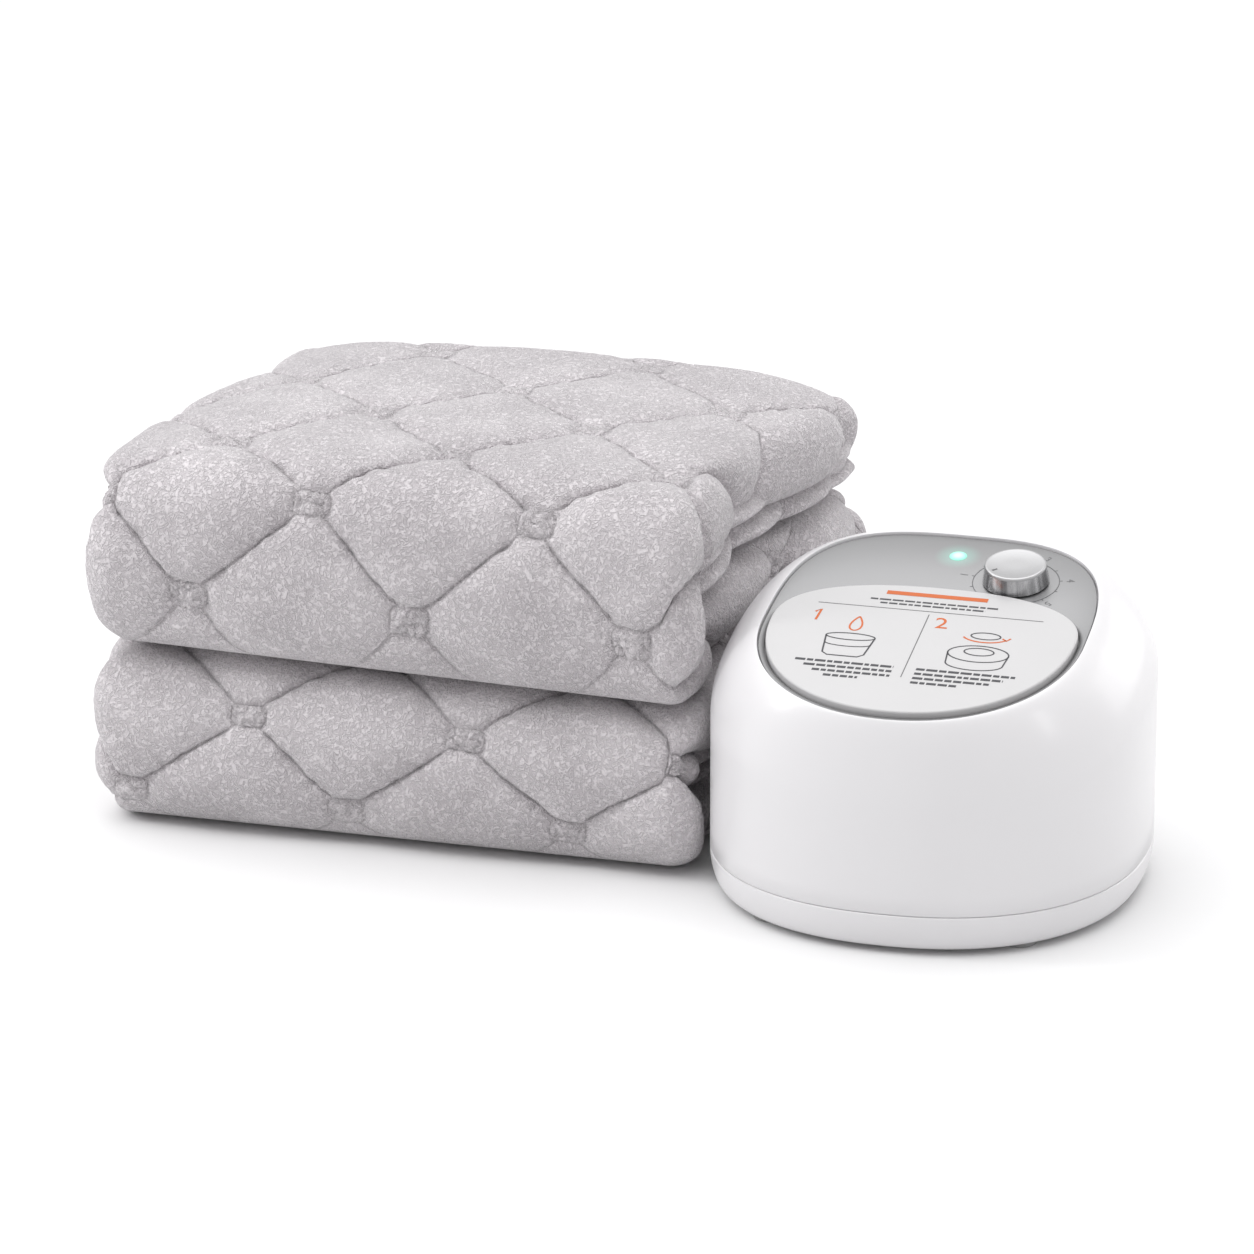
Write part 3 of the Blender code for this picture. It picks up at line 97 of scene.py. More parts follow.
# Sizes of the folded pad
side_round, layer_thickness = 0.017, 0.036
fold_front_depth, inner_front_depth, front_exponent = 0.046, 0.016, 2.7
pad_front_width, pad_depth = 0.337, 0.311
pad_skew, skew_start_share, skew_end_share = 0.030, 0.30, 0.80
roll_radius, top_crown = 0.018, 0.010
quilt_pitch, quilt_row = 0.123, 0.0605
upper_quilt_x, upper_quilt_row = -0.1595, 0.040
lower_quilt_x, lower_quilt_row = -0.0725, 0.029
knot_half_width, knot_half_height = 0.0098, 0.0072
row_slip, edge_puff, side_drape, top_calm = 0.006, 0.003, 0.010, 0.62
notch_left, notch_right, notch_width = 0.0040, 0.0075, 0.010
sag_left, sag_right, sag_reach = 0.009, 0.019, 0.13
rear_draw, hem_round, rear_calm = 0.008, 0.014, 0.016
lip_swell_left, lip_swell_right = 0.0125, 0.0165
lip_cell, lip_slant = 0.060, 0.052
plush_step, hidden_step = 0.0012, 6

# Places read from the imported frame
shell_low, shell_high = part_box("housing_shell")
unit_x = (shell_low.x + shell_high.x) / 2
unit_y = shell_low.y + shell_depth / 2
pad_low, pad_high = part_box("lower_outer_fold")
pad_left, pad_front = pad_low.x, pad_low.y
lower_level = (pad_low.z + pad_high.z) / 2
unfold = next(joint for joint in frame["joints"] if joint["name"] == "pad_unfold")
hinge_y, hinge_z = unfold["pos_m"][1:]
upper_level = hinge_z + lower_level + seam_gap
rear_end = hinge_y - roll_radius


# Shader expressions
class Wire:
    """One output of a shader node. Python's operators on it add the Math nodes."""

    def __init__(self, nodes, socket):
        self.nodes = nodes
        self.socket = socket

    def maths(self, operation, *others):
        return self.nodes.node("Math", dict(enumerate((self, *others))), operation=operation)

    def __add__(self, other):
        return self.maths("ADD", other)

    __radd__ = __add__

    def __sub__(self, other):
        return self.maths("SUBTRACT", other)

    def __rsub__(self, other):
        return self.nodes.node("Math", {0: other, 1: self}, operation="SUBTRACT")

    def __mul__(self, other):
        return self.maths("MULTIPLY", other)

    __rmul__ = __mul__

    def __pow__(self, power):
        return self.maths("POWER", power)

    def __abs__(self):
        return self.maths("ABSOLUTE")

    def least(self, other):
        return self.maths("MINIMUM", other)

    def most(self, other):
        return self.maths("MAXIMUM", other)

    def sine(self):
        return self.maths("SINE")

    def off_whole(self):
        """How far the value is from the nearest whole number."""
        return abs((self + 0.5).maths("FRACT") - 0.5)

    def smooth(self, low, high):
        """0 below low, 1 above high, and a smooth step between; it falls where low is the greater."""
        inputs = {"Value": self, "From Min": min(low, high), "From Max": max(low, high)}
        inputs["To Min"], inputs["To Max"] = (0.0, 1.0) if low < high else (1.0, 0.0)
        return self.nodes.node("MapRange", inputs, interpolation_type="SMOOTHSTEP")


class Nodes:
    """A node tree while it is wired, and the shader in it that the results go to."""

    def __init__(self, tree, shader):
        self.tree = tree
        self.shader = tree.nodes[shader]

    def feed(self, socket, value):
        if isinstance(value, Wire):
            self.tree.links.new(value.socket, socket)
        elif isinstance(value, tuple) and len(value) == 3 and socket.type == "RGBA":
            socket.default_value = (*value, 1.0)
        else:
            socket.default_value = value

    def node(self, kind, inputs=None, output=0, **settings):
        made = self.tree.nodes.new("ShaderNode" + kind)
        for name, value in settings.items():
            setattr(made, name, value)
        for name, value in (inputs or {}).items():
            self.feed(made.inputs[name], value)
        return Wire(self, made.outputs[output])

    def parts(self, vector):
        separate = self.node("SeparateXYZ", {0: vector}).socket.node
        return [Wire(self, output) for output in separate.outputs]

    def blend(self, amount, first, second):
        """First colour where the amount is 0, second where it is 1."""
        return self.node("Mix", {"Factor": amount, 6: first, 7: second}, output=2, data_type="RGBA")

    def direct(self):
        """1 for rays from the camera, off gloss or through glass, and 0 for the rays that light things."""
        camera, glossy, through = (
            self.node("LightPath", output=f"Is {kind} Ray") for kind in ("Camera", "Glossy", "Transmission")
        )
        return camera.most(glossy).most(through)

    def wire(self, socket, value):
        self.feed(self.shader.inputs[socket], value)


class Finish(Nodes):
    """A material while its nodes are wired."""

    def __init__(self, name, **constants):
        self.material = bpy.data.materials.new(name)
        self.material.use_nodes = True
        super().__init__(self.material.node_tree, "Principled BSDF")
        for socket, value in constants.items():
            self.wire(socket.replace("_", " "), value)
        self.place = self.node("TexCoord", output="Object")

    def to_panel(self, u, v, w=0.0):
        """Takes the coordinates about a place on the panel, turned back by its tilt; gives their parts."""
        place, turn = tuple(panel_point(u, v, w)), (panel_tilt, 0.0, 0.0)
        inputs = {"Vector": self.place, "Location": place, "Rotation": turn}
        self.place = self.node("Mapping", inputs, vector_type="TEXTURE")
        return self.parts(self.place)

    def noise(self, scale, detail=2.0, distortion=0.0, place=None):
        inputs = {"Vector": place or self.place, "Scale": scale, "Detail": detail, "Distortion": distortion}
        return self.node("TexNoise", inputs)

    def streaks(self, x, y, z):
        """Noise over three values in the place of the coordinates."""
        return self.noise(1.0, 1.0, place=self.node("CombineXYZ", {0: x, 1: y, 2: z}))

    def colour(self, amount, first, second):
        self.wire("Base Color", self.blend(amount, first, second))

    def done(self, roughness, height, distance, strength=1.0):
        """Wires the roughness and a bump of this height, and gives the material."""
        self.wire("Roughness", roughness)
        inputs = {"Height": height, "Distance": distance, "Strength": strength}
        self.wire("Normal", self.node("Bump", inputs))
        return self.material


def plush_finish():
    """Short crinkled pile: curled strokes from the level lines of a noise, stitched seams and knots, with painted
    shade in its seams, folds and hollows.
    """
    finish = Finish(
        "plush_pile", Roughness=0.92, Sheen_Weight=0.8, Sheen_Roughness=0.35, Specular_IOR_Level=0.12
    )
    u, v, _ = finish.parts(finish.node("UVMap", uv_map="quilt"))
    rising, falling = u + v, u - v
    away = rising.off_whole().least(falling.off_whole()) * (quilt_pitch / math.sqrt(2))
    i, j = rising.maths("ROUND"), falling.maths("ROUND")
    across = abs(u - (i + j) * 0.5) * (quilt_pitch / knot_half_width)
    along = abs(v - (i - j) * 0.5) * (2 * quilt_row / knot_half_height)
    knot = (across**5.0 + along**5.0) ** (1 / 5)
    ragged = finish.noise(240.0) - 0.5
    seam = (away + ragged * 0.0014).smooth(0.0012, 0.0001) * knot.smooth(0.96, 1.04)
    border = abs(knot - 1.0 + ragged * 0.14).smooth(0.09, 0.01)
    inputs = {"Vector": finish.place, "Scale": 135.0}
    folds = finish.node("TexVoronoi", inputs, feature="DISTANCE_TO_EDGE")
    crumple = folds.smooth(0.08, 0.0) * knot.smooth(1.0, 0.9)
    crease_and_shade = seam.most(border * 0.6).most(crumple * 0.45)
    curls = finish.noise(400.0, 1.0, 0.7)
    stroke = (curls * 19.0).sine() * 0.5 + 0.5
    nap_and_shade = stroke * 0.7 + finish.noise(1100.0) * 0.3
    # The pile's height also sets its colour, darker in the hollows and paler on the crests: painted shade and
    # highlight, mixed with a broad random tone.
    tone = nap_and_shade * 0.7 + finish.noise(22.0).smooth(0.3, 0.7) * 0.3
    body = finish.blend(tone, (0.49, 0.458, 0.478), (0.83, 0.791, 0.813))
    # The crease mask darkens the colour towards a dark grey-lilac: painted shade in the seams, knot borders and
    # the folds inside knots.
    finish.colour(crease_and_shade * 0.32, body, (0.30, 0.275, 0.285))
    return finish.done(0.97 - nap_and_shade * 0.12, nap_and_shade - crease_and_shade * 0.9, 0.0011, 0.8)


def shell_finish():
    """Glossy white plastic with a faint moulded ripple."""
    finish = Finish("shell_gloss", Roughness=0.3, Coat_Weight=0.3, Coat_Roughness=0.16, IOR=1.5)
    haze = finish.noise(14.0, 3.0)
    finish.colour(haze, (0.83, 0.82, 0.835), (0.86, 0.85, 0.865))
    return finish.done(haze * 0.05 + finish.noise(900.0, 1.0) * 0.05 + 0.26, finish.noise(60.0), 0.00004)


def panel_finish():
    """Silver paint with fine flakes, and a painted glow of the lamp beside it, given as emission."""
    finish = Finish("panel_silver", Metallic=0.55, Roughness=0.34, Emission_Strength=0.55)
    u, v, _ = finish.to_panel(0.0, lamp_v, -bezel_drop)
    flakes = finish.noise(2600.0, 1.0)
    shade = flakes * 0.4 + finish.noise(9.0, 1.0) * 0.6
    finish.colour(shade, (0.252, 0.252, 0.256), (0.296, 0.296, 0.301))
    # A painted glow of the lamp's light on the panel round it: emission on the paint, strongest near the lamp.
    glow = ((u * u + v * v) ** 0.5).smooth(0.014, 0.0035)
    finish.wire("Emission Color", finish.blend(glow, (0.0, 0.0, 0.0), (0.04, 0.30, 0.22)))
    return finish.done(flakes * 0.14 + 0.28, flakes, 0.00001, 0.6)


def lid_finish():
    """Satin white plastic with a fine grain."""
    finish = Finish("lid_satin", Roughness=0.42)
    haze = finish.noise(30.0)
    finish.colour(haze, (0.60, 0.595, 0.60), (0.63, 0.625, 0.63))
    return finish.done(finish.noise(1500.0, 1.0) * 0.14 + 0.34, finish.noise(1400.0, 1.0), 0.00001, 0.7)


def knob_finish():
    """Turned metal: circular brush lines on the top, and upright ones round the side with painted reflection
    bands.
    """
    finish = Finish("knob_brushed", Metallic=1.0, Roughness=0.26)
    x, y, z = finish.to_panel(dial_u, dial_v)
    radius = (x * x + y * y) ** 0.5
    angle = y.maths("ARCTAN2", x)
    on_top = z.smooth(knob_height - 0.0024, knob_height - 0.0018)
    on_side = 1.0 - on_top
    circular = finish.streaks(radius * 3200.0, angle * 2.0, 0.0)
    upright = finish.streaks(angle * 95.0, z * 120.0, 5.0)
    # Broad dark and bright bands round the side are painted reflections; the upright streaks mixed in are the
    # brushing.
    reflection_bands = finish.streaks(angle * 2.6, 3.0, 1.0)
    brushing_and_reflections = (reflection_bands.smooth(0.38, 0.62) * 0.75 + upright * 0.25) * on_side
    brushed = circular * on_top + upright * on_side
    side = finish.blend(brushing_and_reflections, (0.13, 0.13, 0.135), (0.72, 0.72, 0.73))
    face = finish.blend(circular, (0.38, 0.38, 0.385), (0.43, 0.43, 0.435))
    finish.colour(on_top, side, face)
    return finish.done(brushed * 0.12 + on_top * 0.08 + 0.20, brushed * (1.0 - on_top * 0.8), 0.00003, 0.7)


def lamp_finish():
    """A mint glow, palest in the middle."""
    finish = Finish("lamp_mint", Roughness=0.25, Emission_Strength=1.0)
    x, y, _ = finish.to_panel(0.0, lamp_v, -bezel_drop)
    out = ((x * x + y * y) ** 0.5).smooth(0.0008, lamp_radius)
    finish.colour(out, (0.16, 0.30, 0.25), (0.10, 0.28, 0.20))
    finish.wire("Emission Color", finish.blend(out, (0.66, 0.97, 0.88), (0.26, 0.74, 0.57)))
    return finish.material


def moulded_finish(name, dark, light, roughness, grain=400.0, depth=0.00003, metallic=0.0):
    """A plain part's finish: two close tones in a soft cloud, and the grain of how it was made."""
    finish = Finish(name, Metallic=metallic)
    texture = finish.noise(grain)
    tone = finish.noise(45.0, 3.0) * 0.6 + texture * 0.4
    finish.colour(tone, dark, light)
    return finish.done(texture * 0.16 + (roughness - 0.08), texture, depth, 0.8)


def board_finish():
    """Green solder mask with lighter tracks in a square maze."""
    finish = Finish("board_mask", Roughness=0.4)
    inputs = {"Vector": finish.place, "Scale": 420.0}
    cells = finish.node("TexVoronoi", inputs, distance="CHEBYCHEV", feature="DISTANCE_TO_EDGE")
    track = cells.smooth(0.10, 0.05)
    finish.colour(track, (0.02, 0.15, 0.07), (0.06, 0.30, 0.14))
    return finish.done(track * 0.12 + 0.34, track, 0.00003)


# Grid surfaces
def linked(name, mesh, finish):
    """A mesh with one finish as a new object of the scene."""
    mesh.materials.clear()
    mesh.materials.append(finish)
    made = bpy.data.objects.new(name, mesh)
    bpy.context.scene.collection.objects.link(made)
    return made


def corners_of(grid):
    """The four corners of every cell of a grid, in order round it."""
    return np.stack([grid[:-1, :-1], grid[:-1, 1:], grid[1:, 1:], grid[1:, :-1]], axis=2)


def surface(name, points, finish, wrap_rows=False, caps=False, quilt=None, ladder=None):
    """A mesh of quads between the neighbours of a grid of points, given as rows, columns and X, Y, Z.

    The last column joins the first, and so does the last row where rows wrap. Caps close the first and
    last row with a fan round their middle points. A ladder closes them with rungs instead: triangles
    whose corners are columns of that row. A quilt gives every point its place in the quilting, kept as
    a UV map. The faces are turned so that the volume is positive.
    """
    points = np.asarray(points)
    rows, columns = points.shape[:2]
    index = np.arange(rows * columns).reshape(rows, columns)
    index = np.hstack([index, index[:, :1]])
    if wrap_rows:
        index = np.vstack([index, index[:1]])
    quads = corners_of(index).reshape(-1, 4)
    flat = points.reshape(-1, 3)
    fans = np.empty((0, 3), int)
    if caps:
        first, last = np.full(columns, len(flat)), np.full(columns, len(flat) + 1)
        flat = np.vstack([flat, points[0].mean(axis=0), points[-1].mean(axis=0)])
        low = joined(first, index[0, 1:], index[0, :-1])
        fans = np.vstack([low, joined(last, index[-1, :-1], index[-1, 1:])])
    if ladder is not None:
        fans = np.vstack([ladder[:, ::-1], ladder + (rows - 1) * columns])
    a, b, c, d = (flat[quads[:, k]] for k in range(4))
    e, f, g = (flat[fans[:, k]] for k in range(3))
    volume = np.sum(a * (np.cross(b, c) + np.cross(c, d))) + np.sum(e * np.cross(f, g))
    way = -1 if volume < 0 else 1
    quads, fans = quads[:, ::way], fans[:, ::way]
    corners = np.concatenate([quads.ravel(), fans.ravel()])
    starts = np.concatenate([np.arange(len(quads)) * 4, len(quads) * 4 + np.arange(len(fans)) * 3])
    mesh = bpy.data.meshes.new(name)
    mesh.vertices.add(len(flat))
    mesh.vertices.foreach_set("co", flat.astype(np.float32).ravel())
    mesh.loops.add(len(corners))
    mesh.loops.foreach_set("vertex_index", corners.astype(np.int32))
    mesh.polygons.add(len(starts))
    mesh.polygons.foreach_set("loop_start", starts.astype(np.int32))
    mesh.update(calc_edges=True)
    if quilt is not None:
        marks = corners_of(np.concatenate([quilt, quilt[:, :1]], axis=1)).reshape(-1, 4, 2)[:, ::way]
        marks = np.vstack([marks.reshape(-1, 2), np.zeros((fans.size, 2))])
        mesh.uv_layers.new(name="quilt").data.foreach_set("uv", marks.astype(np.float32).ravel())
    mesh.shade_smooth()
    return linked(name, mesh, finish)


def crisp(piece, degrees=40.0):
    """Keeps those edges sharp at which the faces turn by more than an angle."""
    piece.data.set_sharp_from_angle(angle=math.radians(degrees))
    return piece


def dress(piece, body, slot, *nodes):
    """Rides a piece on its body and hides the CAD nodes that it stands for."""
    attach(piece, body)
    if nodes:
        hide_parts(*nodes)
    return piece


def add(name, points, finish, body, slot, node, degrees=40.0, **closing):
    """A grid surface with crisp edges, dressed."""
    dress(crisp(surface(name, points, finish, **closing), degrees), body, slot, node)


def add_plush(name, points, finish, body, node, fill, **closing):
    """A grid surface of plush, dressed."""
    made = surface(name, points, finish, **closing)
    dress(made, body, "plush", node)


def turns(count):
    return np.arange(count) * 2 * math.pi / count


def joined(*values):
    """Arrays side by side along a new last axis."""
    return np.stack(values, axis=-1)


def signed_power(value, power):
    return np.sign(value) * np.abs(value) ** power


def eased(value):
    """A value held from 0 to 1 and eased at both ends: three squares less two cubes."""
    value = np.clip(value, 0.0, 1.0)
    return value * value * (3 - 2 * value)


def quarter_round(share):
    """Height of a quarter circle at a share of its radius: the root of 1 less (1 - share) squared."""
    return np.sqrt(1 - (1 - share) ** 2)


def rounded(centre, radius, start, steps=6):
    """Points of a quarter circle round a centre, from a starting angle in degrees."""
    angle = math.radians(start) + np.linspace(0.0, math.pi / 2, steps)
    return [(centre[0] + radius * math.cos(a), centre[1] + radius * math.sin(a)) for a in angle]


def plan_outline(half_width, half_depth, exponent, count=288):
    """A superellipse: |x/w|^n + |y/d|^n = 1, at even steps of its own angle."""
    angle, power = turns(count), 2 / exponent
    return half_width * signed_power(np.cos(angle), power), half_depth * signed_power(np.sin(angle), power)


def shell_ring(inset, height):
    """The shell's plan outline, inset by a length, at a height."""
    x, y = plan_outline(shell_width / 2 - inset, shell_depth / 2 - inset, plan_exponent)
    return joined(x + unit_x, y + unit_y, np.full(x.shape, height))


def panel_point(u, v, w):
    """Panel coordinates as coordinates of the whole object."""
    u, v, w = np.broadcast_arrays(u, v, w)
    y = v * math.cos(panel_tilt) - w * math.sin(panel_tilt)
    z = panel_height + v * math.sin(panel_tilt) + w * math.cos(panel_tilt)
    return joined(u + unit_x, y + unit_y, z)


def panel_ring(egg, grow, w, count=288):
    """An egg on the panel, grown by a length: two superellipse halves that share their widest line."""
    half_width, front, rear, front_power, rear_power = egg
    angle = turns(count)
    behind = np.sin(angle) > 0
    power = 2 / np.where(behind, rear_power, front_power)
    u = (half_width + grow) * signed_power(np.cos(angle), power)
    v = widest_v + (np.where(behind, rear, front) + grow) * signed_power(np.sin(angle), power)
    return panel_point(u, v, w)


def back_ring(rectangle, grow, exponent, y, count):
    """A soft rectangle on the back, grown by a length: a superellipse across and up at one depth."""
    width, height, across, up = rectangle
    x, z = plan_outline(width / 2 + grow, height / 2 + grow, exponent, count)
    return joined(x + across + unit_x, np.full(count, y + unit_y), z + up)


def turned(profile, centre, axis="W", count=96, shrink=0.0):
    """A profile of (radius, height) pairs carried round an axis: W out of the panel, Y or Z.

    Shrink is the share of the radius taken off at each point, for flutes.
    """
    radius, height = np.array(profile, float).T
    reach = radius[:, None] * (1 - shrink) * np.ones(count)
    a, b = reach * np.cos(turns(count)), reach * np.sin(turns(count))
    h = np.repeat(height[:, None], count, axis=1)
    if axis == "W":
        return panel_point(a + centre[0], b + centre[1], h)
    moved = {"Z": (a, b, h), "Y": (a, h, -b)}[axis]
    return joined(*moved) + np.array(centre)


# The unit's outside
def housing_rings(inset, rim_grow, rim_w, steps):
    """Rings from the seam up the wall and over the shoulder, a quarter superellipse, to the rim."""
    foot, shoulder = shell_ring(inset, seam_height), shell_ring(inset, shoulder_height)
    shoulder[:, 2] += (shoulder[:, 1] - unit_y) * math.tan(panel_tilt)
    crest = panel_ring(rim_egg, rim_grow, rim_w)
    walls = [foot + (shoulder - foot) * share for share in np.linspace(0.0, 1.0, 7)[:-1]]
    angle = np.linspace(0.0, math.pi / 2, steps)
    reach = 1 - np.clip(np.cos(angle), 0, 1) ** (2 / shoulder_exponent)
    rise = np.sin(angle) ** (2 / shoulder_exponent)
    share = joined(reach, reach, rise)[:, None, :]
    return np.concatenate([np.array(walls), shoulder + (crest - shoulder) * share])


def housing(shell):
    """The white shell: outer wall, rounded rim, ledge under the panel, and its inner wall."""
    outer = housing_rings(0.0, 0.0, 0.0, 40)
    outer[0, :, 2] += seam_round
    edge = ((-0.0001, -0.0004), (-0.0002, -0.0009), (-0.0002, -ledge_drop), (-ledge_width, -ledge_drop))
    ledge = [panel_ring(rim_egg, grow, w) for grow, w in edge]
    inner = housing_rings(wall, -ledge_width, -ledge_drop - ledge_thickness, 16)[::-1]
    rings = np.concatenate([shell_ring(seam_round, seam_height)[None], outer, ledge, inner])
    add("housing", rings, shell, "root", "white_plastic", "housing_shell", 50.0, wrap_rows=True)


def housing_boss(shell):
    """The flat boss on the back: a soft rectangle with the square opening of the mains inlet."""
    count, outer_exponent, hole_exponent = 160, 9.0, 14.0
    places = [(0.0, boss_front)] + rounded((-boss_round, boss_back - boss_round), boss_round, 0)
    rings = [back_ring(boss, grow, outer_exponent, y, count) for grow, y in places]
    rings += [back_ring(inlet, seam_gap, hole_exponent, y, count) for y in (boss_back, boss_front)]
    add("housing_boss", rings, shell, "root", "white_plastic", "housing_shell", wrap_rows=True)


def base(shell):
    """The base tray: tucked in round its foot, up to the seam, and hollow inside, with four screw posts.

    Each ring is the shell's outline inset by a length at a height: on the tucked foot the inset falls
    as one minus a sine and the height rises as one minus a cosine.
    """
    top, floor = seam_height - seam_gap, foot_height + wall
    rings = [(base_tuck + 0.002, foot_height)]
    for angle in np.linspace(0.0, math.pi / 2, 14)[:-1]:
        rise = (top - foot_height) * (1 - math.cos(angle))
        rings.append((base_tuck * (1 - math.sin(angle)), foot_height + rise))
    rings += [(0.0, top - seam_round), (seam_round, top), (wall, top), (wall, top - 0.004)]
    rings += [(base_tuck * 0.5 + wall, floor + 0.002), (base_tuck + wall + 0.002, floor)]
    made = surface("base", [shell_ring(*ring) for ring in rings], shell, caps=True)
    head_clearance, thread_radius, thread_length = 0.0005, 0.0019, 0.0085
    post_radius, post_top = 0.0055, 0.012
    for number in range(1, 5):
        low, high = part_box(f"base_screw_{number}")
        centre = ((low.x + high.x) / 2, (low.y + high.y) / 2, 0.0)
        radius = (high.x - low.x) / 2 + head_clearance
        bored(made, turned([(radius, 0.0), (radius, high.z)], centre, "Z", 48))
        seat = high.z - thread_length
        profile = [(radius, foot_height + 0.0004), (radius, seat), (thread_radius, seat)]
        profile += [(thread_radius, post_top), (post_radius, post_top), (post_radius, foot_height + 0.0008)]
        post = turned(profile, centre, "Z", 48)
        add(f"screw_post_{number}", post, shell, "root", "white_plastic", "base_tray", wrap_rows=True)
    dress(crisp(made), "root", "white_plastic", "base_tray")


def bored(piece, points):
    """Cuts a closed grid surface out of a piece, and keeps the result as plain mesh."""
    cutter = surface("cutter", points, piece.data.materials[0], caps=True)
    cut = piece.modifiers.new("hole", "BOOLEAN")
    cut.operation, cut.solver, cut.object = "DIFFERENCE", "EXACT", cutter
    piece.data = plain_mesh(piece)
    piece.modifiers.clear()
    bpy.data.objects.remove(cutter)


def plain_mesh(piece):
    """The mesh that an object shows, with its modifiers or its text worked out."""
    bpy.context.view_layer.update()
    return bpy.data.meshes.new_from_object(piece.evaluated_get(bpy.context.evaluated_depsgraph_get()))


def panel(silver):
    """The silver panel: rounded outer edge, flat top, a bevelled band round the well, and the well."""
    low, top, floor = -ledge_drop + seam_gap, -bezel_drop, -lid_seat - well_floor
    outside = [(-bezel_gap, low)]
    outside += rounded((-bezel_gap - bezel_round, top - bezel_round), bezel_round, 0)
    well = [(band_width, top), (band_width * 0.5, top - band_drop * 0.35), (0.0001, top - band_drop)]
    well += [(0.0, top - band_drop - 0.0002), (0.0, -lid_seat), (-lid_ledge, -lid_seat)]
    well += [(-lid_ledge, floor), (well_wall, floor), (well_wall, low)]
    rings = [panel_ring(rim_egg, grow, w) for grow, w in outside]
    rings += [panel_ring(lid_egg, lid_gap + grow, w) for grow, w in well]
    add("panel", rings, silver, "root", "silver_paint", "control_bezel", 30.0, wrap_rows=True)


def lid(white):
    """The lid: a plate with a rounded edge, on a skirt open below."""
    low = -lid_seat + seam_gap
    places = [(-skirt_thickness, lid_rise - lid_plate), (-skirt_thickness, low), (0.0, low)]
    places += rounded((-lid_round, lid_rise - lid_round), lid_round, 0, 8)
    rings = [panel_ring(lid_egg, grow, w) for grow, w in places]
    add("lid_plate", rings, white, "lid", "lid_white", "tank_lid", 50.0, caps=True)


def knob(metal):
    """A turned profile: a side that tapers in a straight line, a rounded edge and a dished face."""
    middle, foot = 0.004, 0.0006
    top = knob_low + knob_height
    profile = [(middle, knob_low), (knob_base_radius - foot, knob_low), (knob_base_radius, knob_low + foot)]
    for share in (0.33, 0.66, 1.0):
        radius = knob_base_radius + (knob_top_radius - knob_base_radius) * share
        profile.append((radius, knob_low + foot + (knob_height - 0.0016) * share))
    profile += rounded((knob_top_radius - knob_edge, top - knob_edge), knob_edge, 10)[1:5]
    profile += [(knob_top_radius - 0.0016, top - knob_dish / 4), (knob_top_radius - 0.0024, top - knob_dish)]
    points = turned(profile + [(middle, top - knob_dish)], (dial_u, dial_v), count=160)
    add("knob", points, metal, "knob", "brushed_metal", "control_knob", 35.0, caps=True)


def lamp(mint):
    """The lamp's lens: a low half-ellipse dome turned about its middle, on a straight side."""
    angle = np.linspace(0.0, math.pi / 2, 9)[:-1]
    profile = [(lamp_radius * math.cos(a), -bezel_drop + lamp_dome * math.sin(a)) for a in angle]
    points = turned([(lamp_radius, -ledge_drop)] + profile, (0.0, lamp_v))
    dress(surface("lamp", points, mint, caps=True), "root", "lamp_green", "lamp_lens")


def feet(rubber):
    """Four discs turned with a rounded lower edge."""
    edge = 0.0008
    for number in range(1, 5):
        low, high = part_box(f"foot_{number}")
        radius = (high.x - low.x) / 2
        profile = [(radius - 0.0012, 0.0)] + rounded((radius - edge, edge), edge, -90) + [(radius, high.z)]
        points = turned(profile, ((low.x + high.x) / 2, (low.y + high.y) / 2, 0.0), "Z", 64)
        add(f"foot_pad_{number}", points, rubber, "root", "soft_rubber", f"foot_{number}", caps=True)


# What shows on the back
def hose_port(name, node, dark):
    """A turned fitting: flange, neck and a barbed nipple round its bore."""
    bore, nipple, barb_top, neck, flange, edge = 0.0026, 0.0034, 0.0040, 0.0062, 0.0082, 0.0008
    low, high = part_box(node)
    seat = unit_y + boss_back + seam_gap
    profile = [(bore, low.y), (0.004, low.y), (0.004, seat - 0.011), (neck, seat - 0.011), (neck, seat)]
    profile += [(flange, seat)] + rounded((flange, seat + edge), edge, -90, 5)
    profile += rounded((flange, seat + 0.0022), edge, 0, 5) + [(0.0046, seat + 0.003)]
    for barb in range(3):
        start = seat + 0.0042 + barb * 0.0030
        profile += [(nipple, start), (barb_top, start + 0.0004), (nipple, start + 0.0026)]
    profile += [(0.0032, high.y), (bore, high.y)]
    points = turned(profile, ((low.x + high.x) / 2, 0.0, (low.z + high.z) / 2), "Y", 64)
    add(name, points, dark, "root", "dark_plastic", node, 30.0, wrap_rows=True)


def mains_inlet(dark, steel):
    """The socket: a soft rectangle with a recess, and two round pins in it."""
    count, exponent, chamfer = 96, 12.0, 0.0005
    back = boss_back + inlet_proud
    floor = back - inlet_recess
    mouth = -inlet_wall - 0.0003
    places = ((0.0, back - inlet_depth), (0.0, back - chamfer), (-chamfer, back))
    places += ((-inlet_wall, back), (mouth, back - 0.0004), (mouth, floor))
    rings = [back_ring(inlet, grow, exponent, y, count) for grow, y in places]
    add("mains_socket", rings, dark, "root", "dark_plastic", "power_inlet", 30.0, caps=True)
    profile = [(0.0012, floor - 0.002), (0.0012, floor + 0.0125)]
    profile += [(0.0009, floor + 0.0133), (0.0004, floor + 0.0135)]
    for number, aside in enumerate((-0.0044, 0.0044), 1):
        centre = (unit_x + inlet[2] + aside, unit_y, inlet[3])
        pin = turned(profile, centre, "Y", 32)
        add(f"socket_pin_{number}", pin, steel, "root", "steel", "power_inlet", caps=True)


